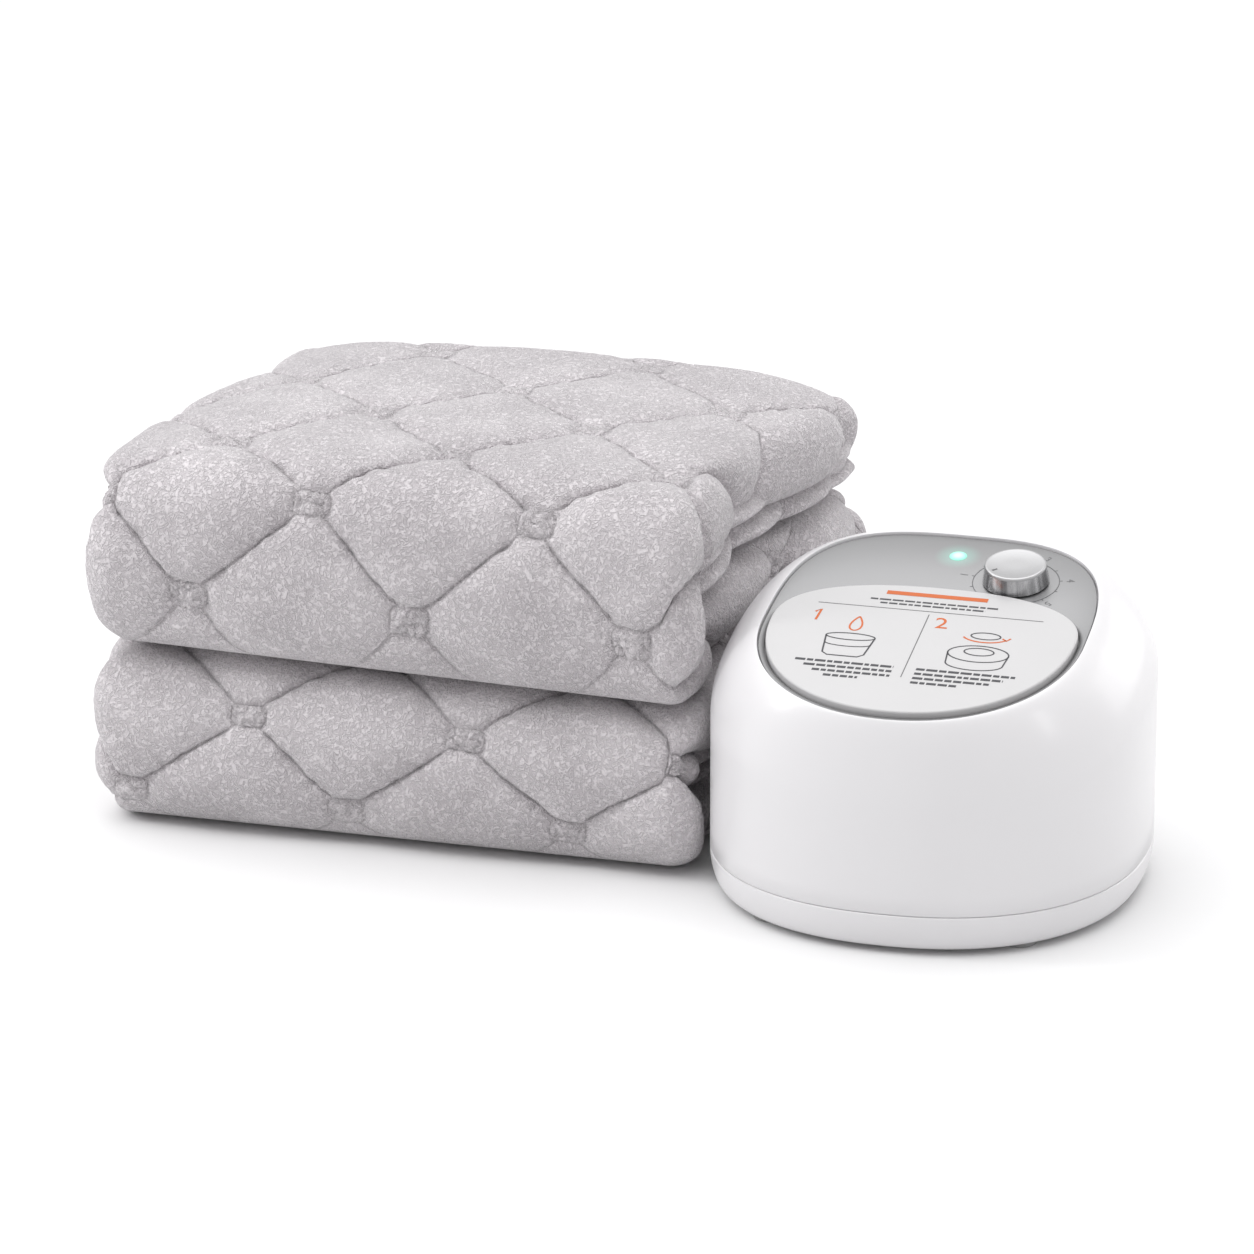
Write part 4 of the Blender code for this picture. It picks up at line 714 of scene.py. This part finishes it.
# Under the lid
def cap(grey):
    """The screw cap: a plate and skirt fluted by a squared cosine, and its soft rectangular grip bar."""
    inside, plate, edge = neck_radius + 0.0006, -0.0138, 0.0016
    flutes, flute_depth, count = 48, 0.00045, 432
    middle, brim = 0.004, -0.0128
    profile = [(middle, plate), (inside, plate), (inside, cap_low), (cap_radius, cap_low), (cap_radius, brim)]
    profile += rounded((cap_radius - edge, cap_top - edge), edge, 0) + [(middle, cap_top)]
    on_side = (np.array(profile)[:, 0] > cap_radius - 0.0005)[:, None]
    shrink = on_side * flute_depth / cap_radius * np.cos(turns(count) * flutes) ** 2
    points = turned(profile, (0.0, neck_v), count=count, shrink=shrink)
    add("filler_cap", points, grey, "cap", "grey_plastic", "tank_cap", 50.0, caps=True)
    x, y = plan_outline(0.018, 0.003, 3.5, 96)
    places = ((1.0, -0.0006), (0.97, 0.0022), (0.93, 0.0031), (0.84, 0.0035))
    rings = [panel_point(x * share, y * share + neck_v, cap_top + rise) for share, rise in places]
    add("cap_grip", rings, grey, "cap", "grey_plastic", "tank_cap", 50.0, caps=True)


# The plush pad
def soft_noise(along, across, size):
    """Smooth noise from -1 to 1: random values on a square lattice, joined by eased steps."""
    along, across = (along - along.min()) / size, (across - across.min()) / size
    values = dice.uniform(-1.0, 1.0, (int(along.max()) + 3, int(across.max()) + 3))
    i, j = along.astype(int), across.astype(int)
    f, g = eased(along - i), eased(across - j)
    low = values[i, j] * (1 - g) + values[i, j + 1] * g
    high = values[i + 1, j] * (1 - g) + values[i + 1, j + 1] * g
    return low * (1 - f) + high * f


def bell(distance, width):
    return np.exp(-((distance / width) ** 2))


def crumpled(across, along, size):
    """Distance to the nearest fold between random lumps: half of second nearest less nearest."""
    table = dice.uniform(-0.42, 0.42, (64, 64, 2))
    i, j = np.floor(across / size).astype(int), np.floor(along / size).astype(int)
    nearest = np.full(across.shape, 9.0)
    second = nearest.copy()
    for di in (-1, 0, 1):
        for dj in (-1, 0, 1):
            jitter = table[(i + di) % 64, (j + dj) % 64]
            x = (i + di + 0.5 + jitter[..., 0]) * size - across
            y = (j + dj + 0.5 + jitter[..., 1]) * size - along
            distance = np.hypot(x, y)
            second = np.minimum(second, np.maximum(nearest, distance))
            nearest = np.minimum(nearest, distance)
    return (second - nearest) / 2


def quilt_relief(across, along):
    """Depth of the quilting below the puffed cells, from running quilt coordinates.

    The two families of diagonal seams lie where across + along and across - along are whole. A cell
    rises from its seams as one minus a falling exponential of its distance, with the distances to the
    two seams and the knot joined by a smooth minimum. Where two seams cross is a gathered knot: a soft
    rectangle sunk to one depth, crumpled inside, with a fold round it.
    """
    soft, puff, puff_reach, seam_depth, seam_width = 0.0028, 0.0058, 0.0080, 0.0013, 0.0012
    knot_depth, knot_crown, rim_height, rim_width = 0.0068, 0.0010, 0.0006, 0.10
    lump_size, lump_height, lump_round = 0.0062, 0.0030, 0.0011
    rising, falling = across + along, across - along
    i, j = np.round(rising), np.round(falling)
    scale = quilt_pitch / math.sqrt(2)
    first, other = np.abs(rising - i) * scale, np.abs(falling - j) * scale
    away = np.minimum(first, other)
    dx = (across - (i + j) / 2) * quilt_pitch
    ds = (along - (i - j) / 2) * 2 * quilt_row
    knot = ((np.abs(dx) / knot_half_width) ** 5 + (np.abs(ds) / knot_half_height) ** 5) ** (1 / 5)
    outside = np.clip((knot - 1.0) * puff_reach, 0.0, None)
    near = -soft * np.log(np.exp(-first / soft) + np.exp(-other / soft) + np.exp(-outside / soft))
    cell = puff * np.exp(-np.clip(near, 0.0, None) / puff_reach)
    cell += seam_depth * bell(np.minimum(away, outside), seam_width)
    lump = crumpled(dx + 0.031 * i, ds + 0.027 * j, lump_size)
    inside = knot_depth - lump_height * (1 - np.exp(-lump / lump_round)) - knot_crown * (1 - knot**2)
    inside += rim_height * bell(1.0 - knot, rim_width)
    return np.where(knot < 1.0, inside, cell), away


def skew_at(y):
    """How far right the stack has slid at this depth, in a smooth step."""
    start, end = pad_front + skew_start_share * pad_depth, pad_front + skew_end_share * pad_depth
    return pad_skew * eased((y - start) / (end - start))


def settled(points):
    """The stack's own weight: the front sinks where the bundles meet, and most at the right.

    The sinking fades to the rear in an eased step and up and down in a straight line. The rear is drawn
    in at the right by the square of the depth.
    """
    x, y, z = (points[..., k] for k in range(3))
    across = np.clip((x - pad_left) / pad_front_width, 0.0, 1.0)
    front = 1 - eased((y - pad_front) / sag_reach)
    tent = 1 - np.clip(np.abs(z / hinge_z - 1), 0.0, 1.0)
    sunk = z - (sag_left + (sag_right - sag_left) * across) * front * tent
    drawn_in = rear_draw * across * np.clip((y - pad_front) / pad_depth, 0.0, 1.0) ** 2
    return joined(x - drawn_in, y, sunk)


def fold_contour(start_y, depth, half_height, exponent, steps=400):
    """One side of a folded layer in (y, z): along the top, round a superellipse front, back underneath."""
    rear = rear_end - 2 * seam_gap
    bend = np.linspace(math.pi / 2, -math.pi / 2, steps)
    front = start_y - depth * signed_power(np.abs(np.cos(bend)), 2 / exponent)
    level = half_height * signed_power(np.sin(bend), 2 / exponent)
    flat = np.full(steps - 1, half_height)
    over, under = np.linspace(rear, start_y, steps)[:-1], np.linspace(start_y, rear, steps)[1:]
    return joined(np.concatenate([over, front, under]), np.concatenate([flat, level, -flat]))


def outer_layer(name, plush, body, level, quilt_x, row_start, crown, node):
    """One thick plush layer folded over the front of its bundle.

    Rows run along the fold's contour, from the top's rear round the front and back underneath, and
    columns round the layer: its quilted face, a half-ellipse edge, its hidden inside and the other
    edge. The quilting follows lengths run over the face and on round the edges.
    """
    wander_reach, wander_size, nap_depth, hem_least, drape_reach = 0.0016, 0.030, 0.0006, 0.30, 0.018
    pucker_depth, pucker_size, pucker_reach = 0.0017, 0.0060, 0.006
    outer = fold_contour(pad_front + fold_front_depth, fold_front_depth, lower_level, front_exponent)
    inner_start = pad_front + layer_thickness + inner_front_depth
    inner = fold_contour(inner_start, inner_front_depth, lower_level - layer_thickness, 2.0)
    run = np.append(0.0, np.cumsum(np.linalg.norm(np.diff(outer, axis=0), axis=1)))
    marks = np.linspace(0.0, run[-1], int(run[-1] / plush_step))
    outer, inner = (
        np.stack([np.interp(marks, run, values) for values in line.T], axis=1) for line in (outer, inner)
    )
    along = run[-1] / 2 - marks
    out = outer - inner
    out /= np.linalg.norm(out, axis=1)[:, None]
    y, upward = outer[:, :1], out[:, 1:]
    share_back = (y - pad_front) / (hinge_y - pad_front)

    # Columns: bend is 0 on the face and 1 on the hidden side, and side is 1 on the right edge, -1 on the left
    width = pad_front_width - 2 * side_round
    edge_length = math.pi / 2 * (side_round + layer_thickness / 2)
    face = np.linspace(0.0, width, hidden_step * int(width / plush_step / hidden_step) + 1)
    edge = np.linspace(0.0, 1.0, int(edge_length / plush_step))[1:-1]
    back = face[::-hidden_step]
    bend = np.concatenate([face * 0, edge, back * 0 + 1, edge[::-1]])
    side = np.concatenate([face * 0, edge * 0 + 1, back * 0, edge * 0 - 1])
    x = np.concatenate([face, edge * 0 + width, back, edge * 0])
    swell, lift = side * np.sin(math.pi * bend), np.cos(math.pi * bend)
    hidden, depth = bend == 1, (1 + lift) / 2
    shown = np.clip(2.2 - 2.2 * bend, 0, 1)

    # Quilting, with its rows slipping sideways and everything wandering a little
    left = pad_left + side_round + skew_at(y)
    over, lengths = np.broadcast_arrays(left + x + side * edge_length * bend, along[:, None])
    slip = row_slip * np.clip((row_start - along) / quilt_row, 0.0, 1.0)[:, None]
    wander = [wander_reach * soft_noise(lengths, over, wander_size) for _ in range(2)]
    quilt_u = (over + slip + wander[0] - quilt_x) / quilt_pitch
    quilt_v = (lengths + wander[1] - row_start) / (2 * quilt_row)
    relief, away = quilt_relief(quilt_u, quilt_v)
    relief = relief + nap_depth
    for height, size in ((0.0009, 0.036), (0.00045, 0.011), (0.00018, 0.0045)):
        relief += height * soft_noise(lengths, over, size)
    relief += pucker_depth * soft_noise(lengths, over, pucker_size) * bell(away, pucker_reach)
    relief *= 0.25 + 0.75 * eased((rear_end - y) / rear_calm)
    relief *= 1 - top_calm * share_back * (upward > 0)
    free = eased((upward + 0.80) / 0.35)
    relief = np.clip(relief, 0.0, None) * shown * (free + (1 - free) * np.abs(swell))

    # Droop of the top towards its sides and ends, and the drape of its right edge
    spread = x / width
    to_side = (2 * spread - 1) ** 4 * np.where(spread > 0.5, 0.2 + 1.2 * share_back**2, 1.0)
    on_top = np.clip(upward, 0, None)
    droop = crown * on_top * (to_side + (2 * share_back - 1) ** 4 / 2)
    to_edge = (side > 0) * np.sin(math.pi / 2 * (1 - depth)) ** 2 + hidden * np.exp((x - width) / drape_reach)
    carried = droop * np.maximum(eased((spread - 0.5) / 0.25), depth) + side_drape * on_top * to_edge

    # Places: between the inner and the outer contour, out to the side, and moved by relief and droop
    tail = np.clip(np.minimum(marks, marks[-1] - marks) / hem_round, 0.0, 1.0)
    full = (hem_least + (1 - hem_least) * quarter_round(tail))[:, None]
    notch = np.where(side > 0, notch_right, notch_left) * np.exp(-away / notch_width)
    px = left + x + swell * (side_round + edge_puff - relief - notch) * full
    through = 0.5 + (depth - 0.5) * full
    move = np.select([side != 0, hidden], [-relief * lift - carried, -carried], -droop - relief)
    yz = inner[:, None] + (outer - inner)[:, None] * through[..., None] + move[..., None] * out[:, None]
    points = settled(joined(px, yz[..., 0], yz[..., 1] + level))
    quilt = joined(quilt_u, quilt_v)
    ladder = end_rungs(len(face), len(edge), len(back))
    add_plush(name, points, plush, body, node, 0.8, quilt=quilt, ladder=ladder)


def end_rungs(face, edge, back):
    """Triangles across the end of a layer, from its face to its hidden side and across both edges."""
    rungs = []
    hidden = face + edge
    total = hidden + back + edge
    for k in range(back - 1):
        far, near = hidden + back - 1 - k, hidden + back - 2 - k
        start = k * hidden_step
        rungs += [(far, start + i, start + i + 1) for i in range(hidden_step)]
        rungs.append((far, start + hidden_step, near))
    for first, last in ((face - 1, hidden), (hidden + back - 1, total)):
        while last - first > 1:
            rungs.append((first % total, (first + 1) % total, last % total))
            if last - first > 2:
                rungs.append(((first + 1) % total, (last - 1) % total, last % total))
            first, last = first + 1, last - 1
    return np.array(rungs)


def inner_layers(name, plush, body, node):
    """The two thinner layers inside a bundle, as rounded lips at each side, seamed and creased.

    Rows run from front to rear and columns up the right lips and down the left ones, each pair the two
    lobes of a sine to a power. The flat faces between the sides are hidden by the outer layers.
    """
    lip_power, pillow_share, pillow_reach, rear_round = 0.55, 0.55, 0.009, 0.006
    crease_depth, crease_width, swell_height, swell_size = 0.0010, 0.0013, 0.0007, 0.020
    low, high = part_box(node)
    middle, half = (low.z + high.z) / 2, (high.z - low.z) / 2
    stations = np.linspace(low.y, high.y, 260)
    share = np.linspace(-1.0, 1.0, 72)
    lip = np.abs(np.sin(math.pi * share)) ** lip_power
    full = quarter_round(np.clip((stations - low.y) / inner_front_depth, 0.04, 1.0))
    full = (full * quarter_round(np.clip((high.y - stations) / rear_round, 0.05, 1.0)))[:, None]
    run, height = np.meshgrid(stations, share * half, indexing="ij")
    sides, marks = [], []
    for side, at, swell in (
        (1, pad_front_width - side_round, lip_swell_right), (-1, side_round, lip_swell_left)
    ):
        seams = (run - pad_front) / lip_cell + np.abs(height) / lip_slant + 0.3 * (height > 0)
        nearest = np.abs(seams - np.round(seams)) * lip_cell * 0.75
        pillow = 1 - pillow_share * np.exp(-nearest / pillow_reach)
        reach = swell * lip * full * pillow - crease_depth * bell(nearest, crease_width)
        reach += swell_height * soft_noise(run, height, swell_size)
        x = pad_left + at + skew_at(run) + side * reach
        sides.append(joined(x, run, middle + height * full)[:, ::side])
        marks.append(joined((seams + 0.5) / 2, (seams - 0.5) / 2)[:, ::side])
    points, quilt = settled(np.concatenate(sides, axis=1)), np.concatenate(marks, axis=1)
    add_plush(name, points, plush, body, node, 0.6, caps=True, quilt=quilt)


def rear_roll(plush):
    """The roll of plush at the back, a quilted cylinder with rounded ends on which the stack opens."""
    low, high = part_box("rear_fold")
    radius = (high.z - low.z) / 2
    centre_y, centre_z = (low.y + high.y) / 2, (low.z + high.z) / 2
    x, angle = np.linspace(low.x, high.x, 220), turns(96)
    full = quarter_round(np.clip(np.minimum(x - low.x, high.x - x) / radius, 0.02, 1.0))[:, None]
    run, turn = np.meshgrid(x, angle * radius, indexing="ij")
    quilt_u = (run - upper_quilt_x) / quilt_pitch
    quilt_v = np.abs(turn - math.pi * radius) / (2 * quilt_row)
    relief, _ = quilt_relief(quilt_u, quilt_v)
    relief = np.clip(relief * 0.55 + 0.0006 + 0.0005 * soft_noise(run, turn, 0.016), 0.0, None)
    reach = (radius - relief) * full
    points = joined(run, centre_y + reach * np.cos(angle), centre_z + reach * np.sin(angle))
    quilt = joined(quilt_u, quilt_v)
    add_plush("back_roll", points, plush, "root", "rear_fold", 0.8, caps=True, quilt=quilt)


# What is printed
def ribbon(path, width, closed=False):
    """Two rails of points at half the width either side of a path in panel coordinates."""
    path = np.asarray(path, float)
    ahead = np.gradient(path, axis=0)
    if closed:
        ahead[0] = ahead[-1] = path[1] - path[-2]
    ahead /= np.linalg.norm(ahead, axis=1)[:, None]
    aside = joined(-ahead[:, 1], ahead[:, 0]) * width / 2
    return np.stack([path - aside, path + aside], axis=1)


def oval(u, v, half_width, half_height, first=0.0, last=360.0, count=40):
    """Points of an ellipse, or of its arc between two angles in degrees."""
    angle = np.radians(np.linspace(first, last, count))
    return joined(u + half_width * np.cos(angle), v + half_height * np.sin(angle))


def printed(name, ribbons, w, ink, body, slot):
    """Many flat ribbons as one thin mesh laid on the panel or the lid, with a little thickness."""
    quads, shift = [], 0
    for rails in ribbons:
        i = np.arange(len(rails) - 1) * 2 + shift
        quads.append(joined(i, i + 2, i + 3, i + 1))
        shift += len(rails) * 2
    flat = np.vstack([rails.reshape(-1, 2) for rails in ribbons])
    mesh = bpy.data.meshes.new(name)
    mesh.from_pydata(panel_point(flat[:, 0], flat[:, 1], w).tolist(), [], np.vstack(quads).tolist())
    made = linked(name, mesh, ink)
    thick = made.modifiers.new("ink", "SOLIDIFY")
    thick.thickness, thick.offset = ink_thickness, 1.0
    dress(made, body, slot)


def numeral(name, text, size, place, w, ink, body, slot, turn=0.0, lean=0.0):
    """A plain number as a thin mesh at a place of the panel, turned about it and leaning."""
    curve = bpy.data.curves.new(name, "FONT")
    curve.body, curve.size, curve.shear = text, size, lean
    curve.align_x = curve.align_y = "CENTER"
    curve.extrude, curve.resolution_u = ink_thickness / 2, 4
    maker = bpy.data.objects.new(name + "_maker", curve)
    bpy.context.scene.collection.objects.link(maker)
    mesh = plain_mesh(maker)
    bpy.data.objects.remove(maker)
    points = np.empty(len(mesh.vertices) * 3, np.float32)
    mesh.vertices.foreach_get("co", points)
    a, b, c = points.reshape(-1, 3).T
    cos, sin = math.cos(turn), math.sin(turn)
    placed = panel_point(place[0] + a * cos - b * sin, place[1] + a * sin + b * cos, w + c)
    mesh.vertices.foreach_set("co", placed.astype(np.float32).ravel())
    dress(linked(name, mesh, ink), body, slot)


def words(left, right, v, height):
    """A line of print as a row of short bars, their lengths drawn at random, with even gaps."""
    bars = []
    at = left
    while at < right:
        length = min(float(dice.uniform(0.0022, 0.0062)), right - at)
        bars.append(ribbon([(at, v), (at + length, v)], height))
        at += length + 0.0009
    return bars


def lid_print(dark, orange, grey):
    """A filling guide of its own: a drop over a cup, a turned cap, a coloured title bar and numerals."""
    w, place = lid_rise + ink_lift, ("lid", "lid_white")
    bars = words(-0.034, 0.034, -0.0040, 0.0014) + words(-0.028, 0.028, -0.0074, 0.0014)
    for row in range(4):
        v, reach = -0.0700 - row * 0.0044, 0.058 - 0.0055 * row
        left, right = ((-reach, -0.006), (0.006, reach)) if row < 3 else ((-0.040, -0.022), (0.006, 0.030))
        bars += words(*left, v, 0.0020) + words(*right, v, 0.0020)
    cup = [(-0.048, -0.044), (-0.046, -0.061), (-0.043, -0.0635), (-0.027, -0.0635), (-0.024, -0.061)]
    lines = (
        (cup + [(-0.022, -0.044)], 0.0009),
        (oval(-0.035, -0.044, 0.013, 0.0033), 0.0008, True),
        (oval(-0.035, -0.051, 0.0120, 0.0028, 180, 360), 0.0007),
        (oval(0.034, -0.050, 0.016, 0.0080), 0.0008, True),
        (oval(0.034, -0.048, 0.0078, 0.0036), 0.0008, True),
        ([(0.018, -0.050), (0.019, -0.060)], 0.0008),
        ([(0.050, -0.050), (0.049, -0.060)], 0.0008),
        (oval(0.034, -0.060, 0.015, 0.0062, 180, 360), 0.0008),
        (oval(0.034, -0.032, 0.0078, 0.0033), 0.0008, True),
    )
    printed("lid_print_dark", bars + [ribbon(*line) for line in lines], w, dark, *place)
    turn = np.linspace(0.0, 2 * math.pi, 33)
    bulge = 0.0040 * np.sin(turn) * np.sin(turn / 2) ** 0.9
    lines = (
        ([(-0.027, 0.0035), (0.027, 0.0035)], 0.0036),
        (joined(-0.035 + bulge, -0.0305 + 0.0070 * np.cos(turn)), 0.0010),
        (oval(0.034, -0.032, 0.0120, 0.0062, 200, 340, 24), 0.0010),
        ([(-0.0592, -0.0222), (-0.0566, -0.0193), (-0.0572, -0.0302)], 0.0013),
        ([(0.0472, -0.0322), (0.0455, -0.0350), (0.0430, -0.0330)], 0.0010),
    )
    printed("lid_print_orange", [ribbon(*line) for line in lines], w, orange, *place)
    rules = [(-0.060, -0.0125), (0.060, -0.0125)], [(0.0, -0.0155), (0.0, -0.0790)]
    printed("lid_print_grey", [ribbon(rule, 0.0005) for rule in rules], w, grey, *place)
    numeral("lid_numeral_2", "2", 0.0150, (0.0090, -0.0235), w, orange, *place, lean=-0.12)


def dial_print(grey):
    """A thin arc round the knob, with ticks and plain numbers outside it, and the knob's pointer."""
    def out(degrees, reach):
        way = math.radians(degrees)
        return dial_u + reach * math.cos(way), dial_v + reach * math.sin(way)

    w, place = -bezel_drop + ink_lift, ("root", "silver_paint")
    ring = [ribbon(oval(dial_u, dial_v, dial_radius, dial_radius, -60, 235, 90), 0.0005)]
    for number in range(11):
        angle = dial_start - number * dial_sweep / 10
        ring.append(ribbon([out(angle, reach) for reach in (dial_radius, tick_end)], 0.0004))
    printed("dial_ring", ring, w, grey, *place)
    for number in range(6):
        angle = dial_start - number * dial_sweep / 5
        turn, at = math.radians(angle) - math.pi / 2, out(angle, number_radius)
        numeral(f"dial_number_{number}", str(number), 0.0062, at, w, grey, *place, turn)
    pointer = [out(pointer_angle, reach) for reach in (0.0105, 0.0135)]
    face = knob_low + knob_height - knob_dish + 0.00002
    printed("knob_pointer", [ribbon(pointer, 0.0011)], face, grey, "knob", "brushed_metal")


# The studio
def studio():
    """A pale floor to the horizon, a broad sun above, an upright soft box at each side and a fill behind."""
    reach = 30.0
    mesh = bpy.data.meshes.new("floor")
    corners = [(-reach, -reach, 0), (reach, -reach, 0), (reach, reach, 0), (-reach, reach, 0)]
    mesh.from_pydata(corners, [], [(0, 1, 2, 3)])
    paper = Finish("floor_paper", Roughness=0.95, Specular_IOR_Level=0.0)
    grain = paper.noise(30.0)
    lit = paper.blend(grain, (0.775, 0.775, 0.777), (0.785, 0.785, 0.787))
    seen = paper.blend(grain, (0.895, 0.895, 0.897), (0.905, 0.905, 0.907))
    paper.colour(paper.direct(), lit, seen)
    linked("floor", mesh, paper.material)

    world = bpy.data.worlds.new("studio_white")
    bpy.context.scene.world = world
    world.use_nodes = True
    sky = Nodes(world.node_tree, "Background")
    sky.wire("Color", (1.0, 0.995, 1.0))
    sky.wire("Strength", sky.direct() * 0.52 + 0.48)

    sun = bpy.data.lights.new("broad_top", "SUN")
    sun.energy, sun.angle = 2.15, math.radians(80)
    aimed(sun, (-0.35, 0.12, 2.2), (0.0, 0.0, 0.0))
    for name, place, width, height, power, target in (
        ("left_box", (-1.2, -0.45, 0.75), 0.20, 0.60, 4.4, (0.12, 0.0, 0.12)),
        ("right_box", (1.65, -0.35, 0.72), 0.18, 0.55, 1.3, (0.12, 0.0, 0.12)),
        ("rear_fill", (1.3, 1.3, 0.55), 1.2, 0.8, 4.5, (0.05, 0.05, 0.12)),
    ):
        box = bpy.data.lights.new(name, "AREA")
        box.shape, box.size, box.size_y, box.energy = "RECTANGLE", width, height, power
        aimed(box, place, target)


def aimed(data, place, target):
    """A lamp or camera at a place, turned to its target."""
    made = bpy.data.objects.new(data.name, data)
    made.location = place
    made.rotation_euler = (Vector(target) - Vector(place)).to_track_quat("-Z", "Y").to_euler()
    bpy.context.scene.collection.objects.link(made)
    return made


def camera():
    lens = bpy.data.cameras.new("photo_view")
    lens.sensor_width, lens.lens, lens.clip_end = sensor_width, camera_lens, 100.0
    bpy.context.scene.camera = aimed(lens, camera_place, camera_target)


def dress_cad_nodes():
    """Gives the CAD pieces that keep their own shape the finish of their slot, and hands the finishes on."""
    plain = {
        "tank_plastic": ("tank_frosted", (0.70, 0.75, 0.79), (0.80, 0.84, 0.87), 0.42),
        "dark_plastic": ("dark_moulded", (0.035, 0.035, 0.038), (0.07, 0.07, 0.075), 0.45, 900.0),
        "grey_plastic": ("grey_moulded", (0.36, 0.38, 0.40), (0.44, 0.46, 0.48), 0.45, 800.0),
        "silicone": ("silicone_milky", (0.70, 0.70, 0.68), (0.80, 0.80, 0.78), 0.5, 500.0),
        "soft_rubber": ("rubber_matt", (0.30, 0.30, 0.30), (0.38, 0.38, 0.38), 0.8, 1500.0, 0.00006),
        "float_foam": ("float_cells", (0.66, 0.27, 0.07), (0.85, 0.40, 0.13), 0.8, 1200.0, 0.0002),
        "cast_aluminium": ("cast_grain", (0.55, 0.56, 0.57), (0.70, 0.71, 0.72), 0.45, 1000.0, 0.0001, 1.0),
        "steel": ("steel_turned", (0.50, 0.50, 0.51), (0.64, 0.64, 0.65), 0.3, 2000.0, 0.00003, 1.0),
        "wire_black": ("wire_sheath", (0.02, 0.02, 0.022), (0.05, 0.05, 0.055), 0.55, 700.0),
        "lid_white": ("white_moulded", (0.78, 0.78, 0.78), (0.85, 0.85, 0.85), 0.4),
    }
    finishes = {slot: moulded_finish(*values) for slot, values in plain.items()}
    finishes["board_green"] = board_finish()
    for node in frame["record"]["subparts"]:
        if node["material_slot"] in finishes:
            materials = frame["nodes"][node["node"]].data.materials
            materials.clear()
            materials.append(finishes[node["material_slot"]])
    return finishes


def main():
    finishes = dress_cad_nodes()
    dark, shell, plush = finishes["dark_plastic"], shell_finish(), plush_finish()
    housing(shell)
    housing_boss(shell)
    base(shell)
    panel(panel_finish())
    lid(lid_finish())
    knob(knob_finish())
    lamp(lamp_finish())
    feet(finishes["soft_rubber"])
    hose_port("port_out", "outlet_port", dark)
    hose_port("port_back", "return_port", dark)
    mains_inlet(dark, finishes["steel"])
    cap(finishes["grey_plastic"])
    lower = (lower_level, lower_quilt_x, lower_quilt_row, 0.0, "lower_outer_fold")
    outer_layer("lower_quilt", plush, "root", *lower)
    inner_layers("lower_lips", plush, "root", "lower_inner_fold")
    upper = (upper_level, upper_quilt_x, upper_quilt_row, top_crown, "upper_outer_fold")
    outer_layer("upper_quilt", plush, "upper_pad", *upper)
    inner_layers("upper_lips", plush, "upper_pad", "upper_inner_fold")
    rear_roll(plush)
    dark_ink = moulded_finish("ink_dark", (0.025, 0.025, 0.03), (0.05, 0.05, 0.058), 0.5, 900.0, 0.0)
    orange_ink = moulded_finish("ink_orange", (0.57, 0.110, 0.012), (0.63, 0.135, 0.020), 0.5, 900.0, 0.0)
    grey_ink = moulded_finish("ink_grey", (0.11, 0.11, 0.115), (0.15, 0.15, 0.155), 0.5, 900.0, 0.0)
    lid_print(dark_ink, orange_ink, grey_ink)
    dial_print(grey_ink)
    studio()
    camera()


main()
bpy.context.scene.view_settings.view_transform = "Standard"
